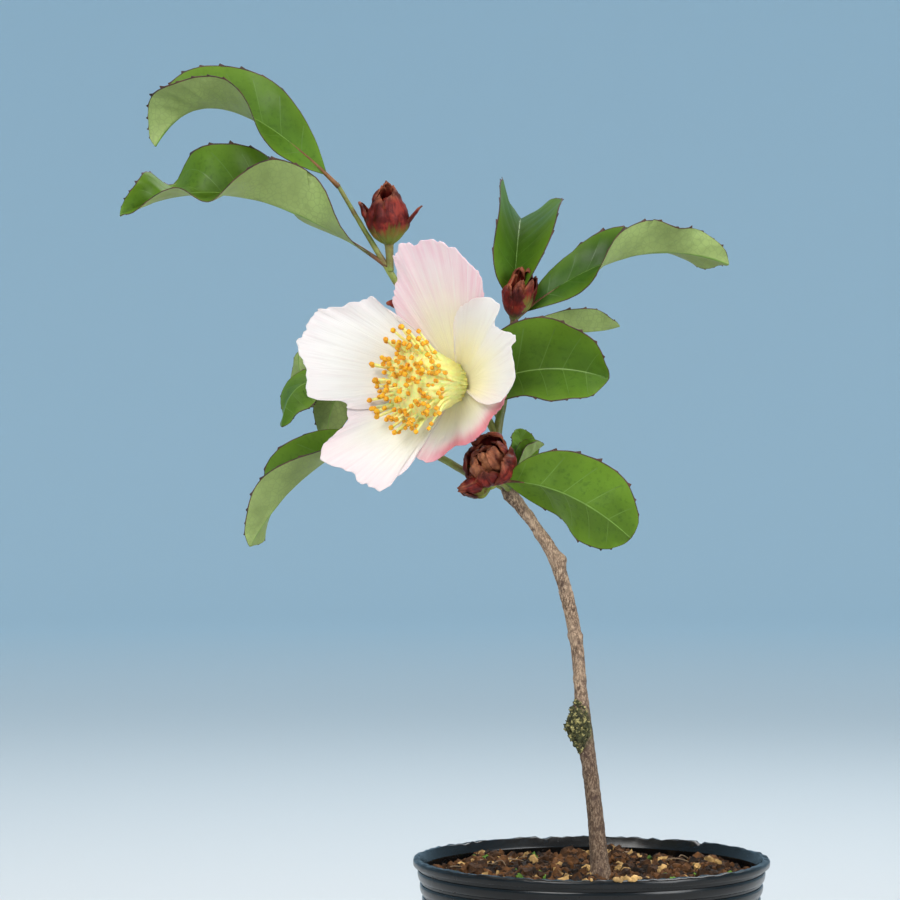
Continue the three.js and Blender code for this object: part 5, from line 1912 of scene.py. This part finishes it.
class BONSAI_OT_flower(bpy.types.Operator):
    """Make the open flower: its ruffled petals and the calyx behind them"""

    bl_idname = "bonsai.make_flower"
    bl_label = "Petals"

    def execute(self, context):
        flower = context.scene.bonsai_flower
        basis = frame_of(FLOWER_FACES)
        seat = np.array(FLOWER_SEAT)
        petals = Gathered()
        for index, (spec, cell) in enumerate(zip(PETALS, cells(len(PETALS)))):
            add_petal(petals, spec, index, flower, basis, seat, cell)
        petals.piece("petals", [petal_finish(flower)], "petal", "flower")
        calyx = Gathered()
        for k, cell in enumerate(cells(CALYX_COUNT)):
            angle = 360 / CALYX_COUNT * k + CALYX_TURN
            blade = sepal_blade(angle, *CALYX_CURVE, (0, 1), CALYX_WIDTH, CALYX_TAPER)
            add_sepal(calyx, blade, basis, seat, 200 + k, CALYX_CUP, cell, CALYX_GREEN, 0.0)
        calyx.piece("calyx", [sepal_finish(flower)], "leaf", "flower")
        return {"FINISHED"}


class BONSAI_OT_stamens(bpy.types.Operator):
    """Make the ring of stamens: pale yellow filaments with orange anthers"""

    bl_idname = "bonsai.make_stamens"
    bl_label = "Stamens"

    def execute(self, context):
        flower = context.scene.bonsai_flower
        tree = bpy.data.node_groups.get("Ring of stamens") or stamen_tree()
        basis = frame_of(STAMENS_POINT)
        seat = np.array(FLOWER_SEAT) + basis[2] * STAMENS_AHEAD
        thread, head = stamen_shapes(flower)
        kinds = (
            ("filaments", thread, flower.filament, 0.1, 0.5),
            ("anthers", head, flower.anther, 0.45, 0.15),
        )
        for name, shape, tint, spread, soft in kinds:
            glow = dict(Subsurface_Weight=soft, Subsurface_Scale=0.002)
            finish = mottled_finish(name, tint, 900, spread, (0.5, 0.75), **glow)
            mesh = grown(
                name, tree, bpy.data.meshes.new(name + "_host"), shape, Number=flower.stamen_count,
                Base_radius=flower.stamen_base, Spread=flower.stamen_spread, Seed=4, Finish=finish,
            )
            mesh.transform(standing(basis, seat * MM))
            placed(name, mesh, "petal", "flower")
        sheath = Gathered(*closed_tube(sheath_rings(flower) @ basis + seat))
        glow = dict(Subsurface_Weight=0.7, Subsurface_Scale=0.004)
        finish = mottled_finish("stamen_sheath", flower.filament, 500, 0.1, (0.5, 0.7), **glow)
        sheath.piece("stamen_sheath", [finish], "petal", "flower")
        return {"FINISHED"}


class BONSAI_OT_stage(bpy.types.Operator):
    """Set the pale floor and backdrop, the soft studio light and the photo's camera"""

    bl_idname = "bonsai.set_stage"
    bl_label = "Stage"

    def execute(self, context):
        stage = context.scene.bonsai_stage
        floor = linked("studio_floor", floor_mesh(stage))
        set_lamps(stage)
        set_air(context.scene, stage.air)
        set_camera(context.scene)
        context.scene.view_settings.view_transform = "Standard"
        return {"FINISHED"}


class BONSAI_PT_panel(bpy.types.Panel):
    """Lists the pieces of the bonsai and their settings"""

    bl_idname = "BONSAI_PT_panel"
    bl_label = "Stewartia Bonsai"
    bl_space_type = "VIEW_3D"
    bl_region_type = "UI"
    bl_category = "Bonsai"

    def draw(self, context):
        for operator in OPERATORS:
            self.layout.operator(operator.bl_idname)
        for name, group in SETTINGS.items():
            box = self.layout.box()
            for key in group.__annotations__:
                box.prop(getattr(context.scene, name), key)


SETTINGS = {
    "bonsai_pot": PotSettings,
    "bonsai_bark": BarkSettings,
    "bonsai_leaf": LeafSettings,
    "bonsai_flower": FlowerSettings,
    "bonsai_stage": StageSettings,
}
OPERATORS = (
    BONSAI_OT_stage, BONSAI_OT_pot, BONSAI_OT_soil, BONSAI_OT_trunk, BONSAI_OT_boughs, BONSAI_OT_twigs,
    BONSAI_OT_leaves, BONSAI_OT_buds, BONSAI_OT_flower, BONSAI_OT_stamens,
)
CLASSES = (*SETTINGS.values(), *OPERATORS, BONSAI_PT_panel)


def register():
    """Registers the settings, operators and panel."""
    for part in CLASSES:
        bpy.utils.register_class(part)
    for name, group in SETTINGS.items():
        setattr(bpy.types.Scene, name, PointerProperty(type=group))


def unregister():
    """Takes the settings, operators and panel away again."""
    for name in SETTINGS:
        delattr(bpy.types.Scene, name)
    for part in reversed(CLASSES):
        bpy.utils.unregister_class(part)


def main():
    """Makes every piece in order."""
    register()
    for operator in OPERATORS:
        group, call = operator.bl_idname.split(".")
        getattr(getattr(bpy.ops, group), call)()


if __name__ == "__main__":
    main()
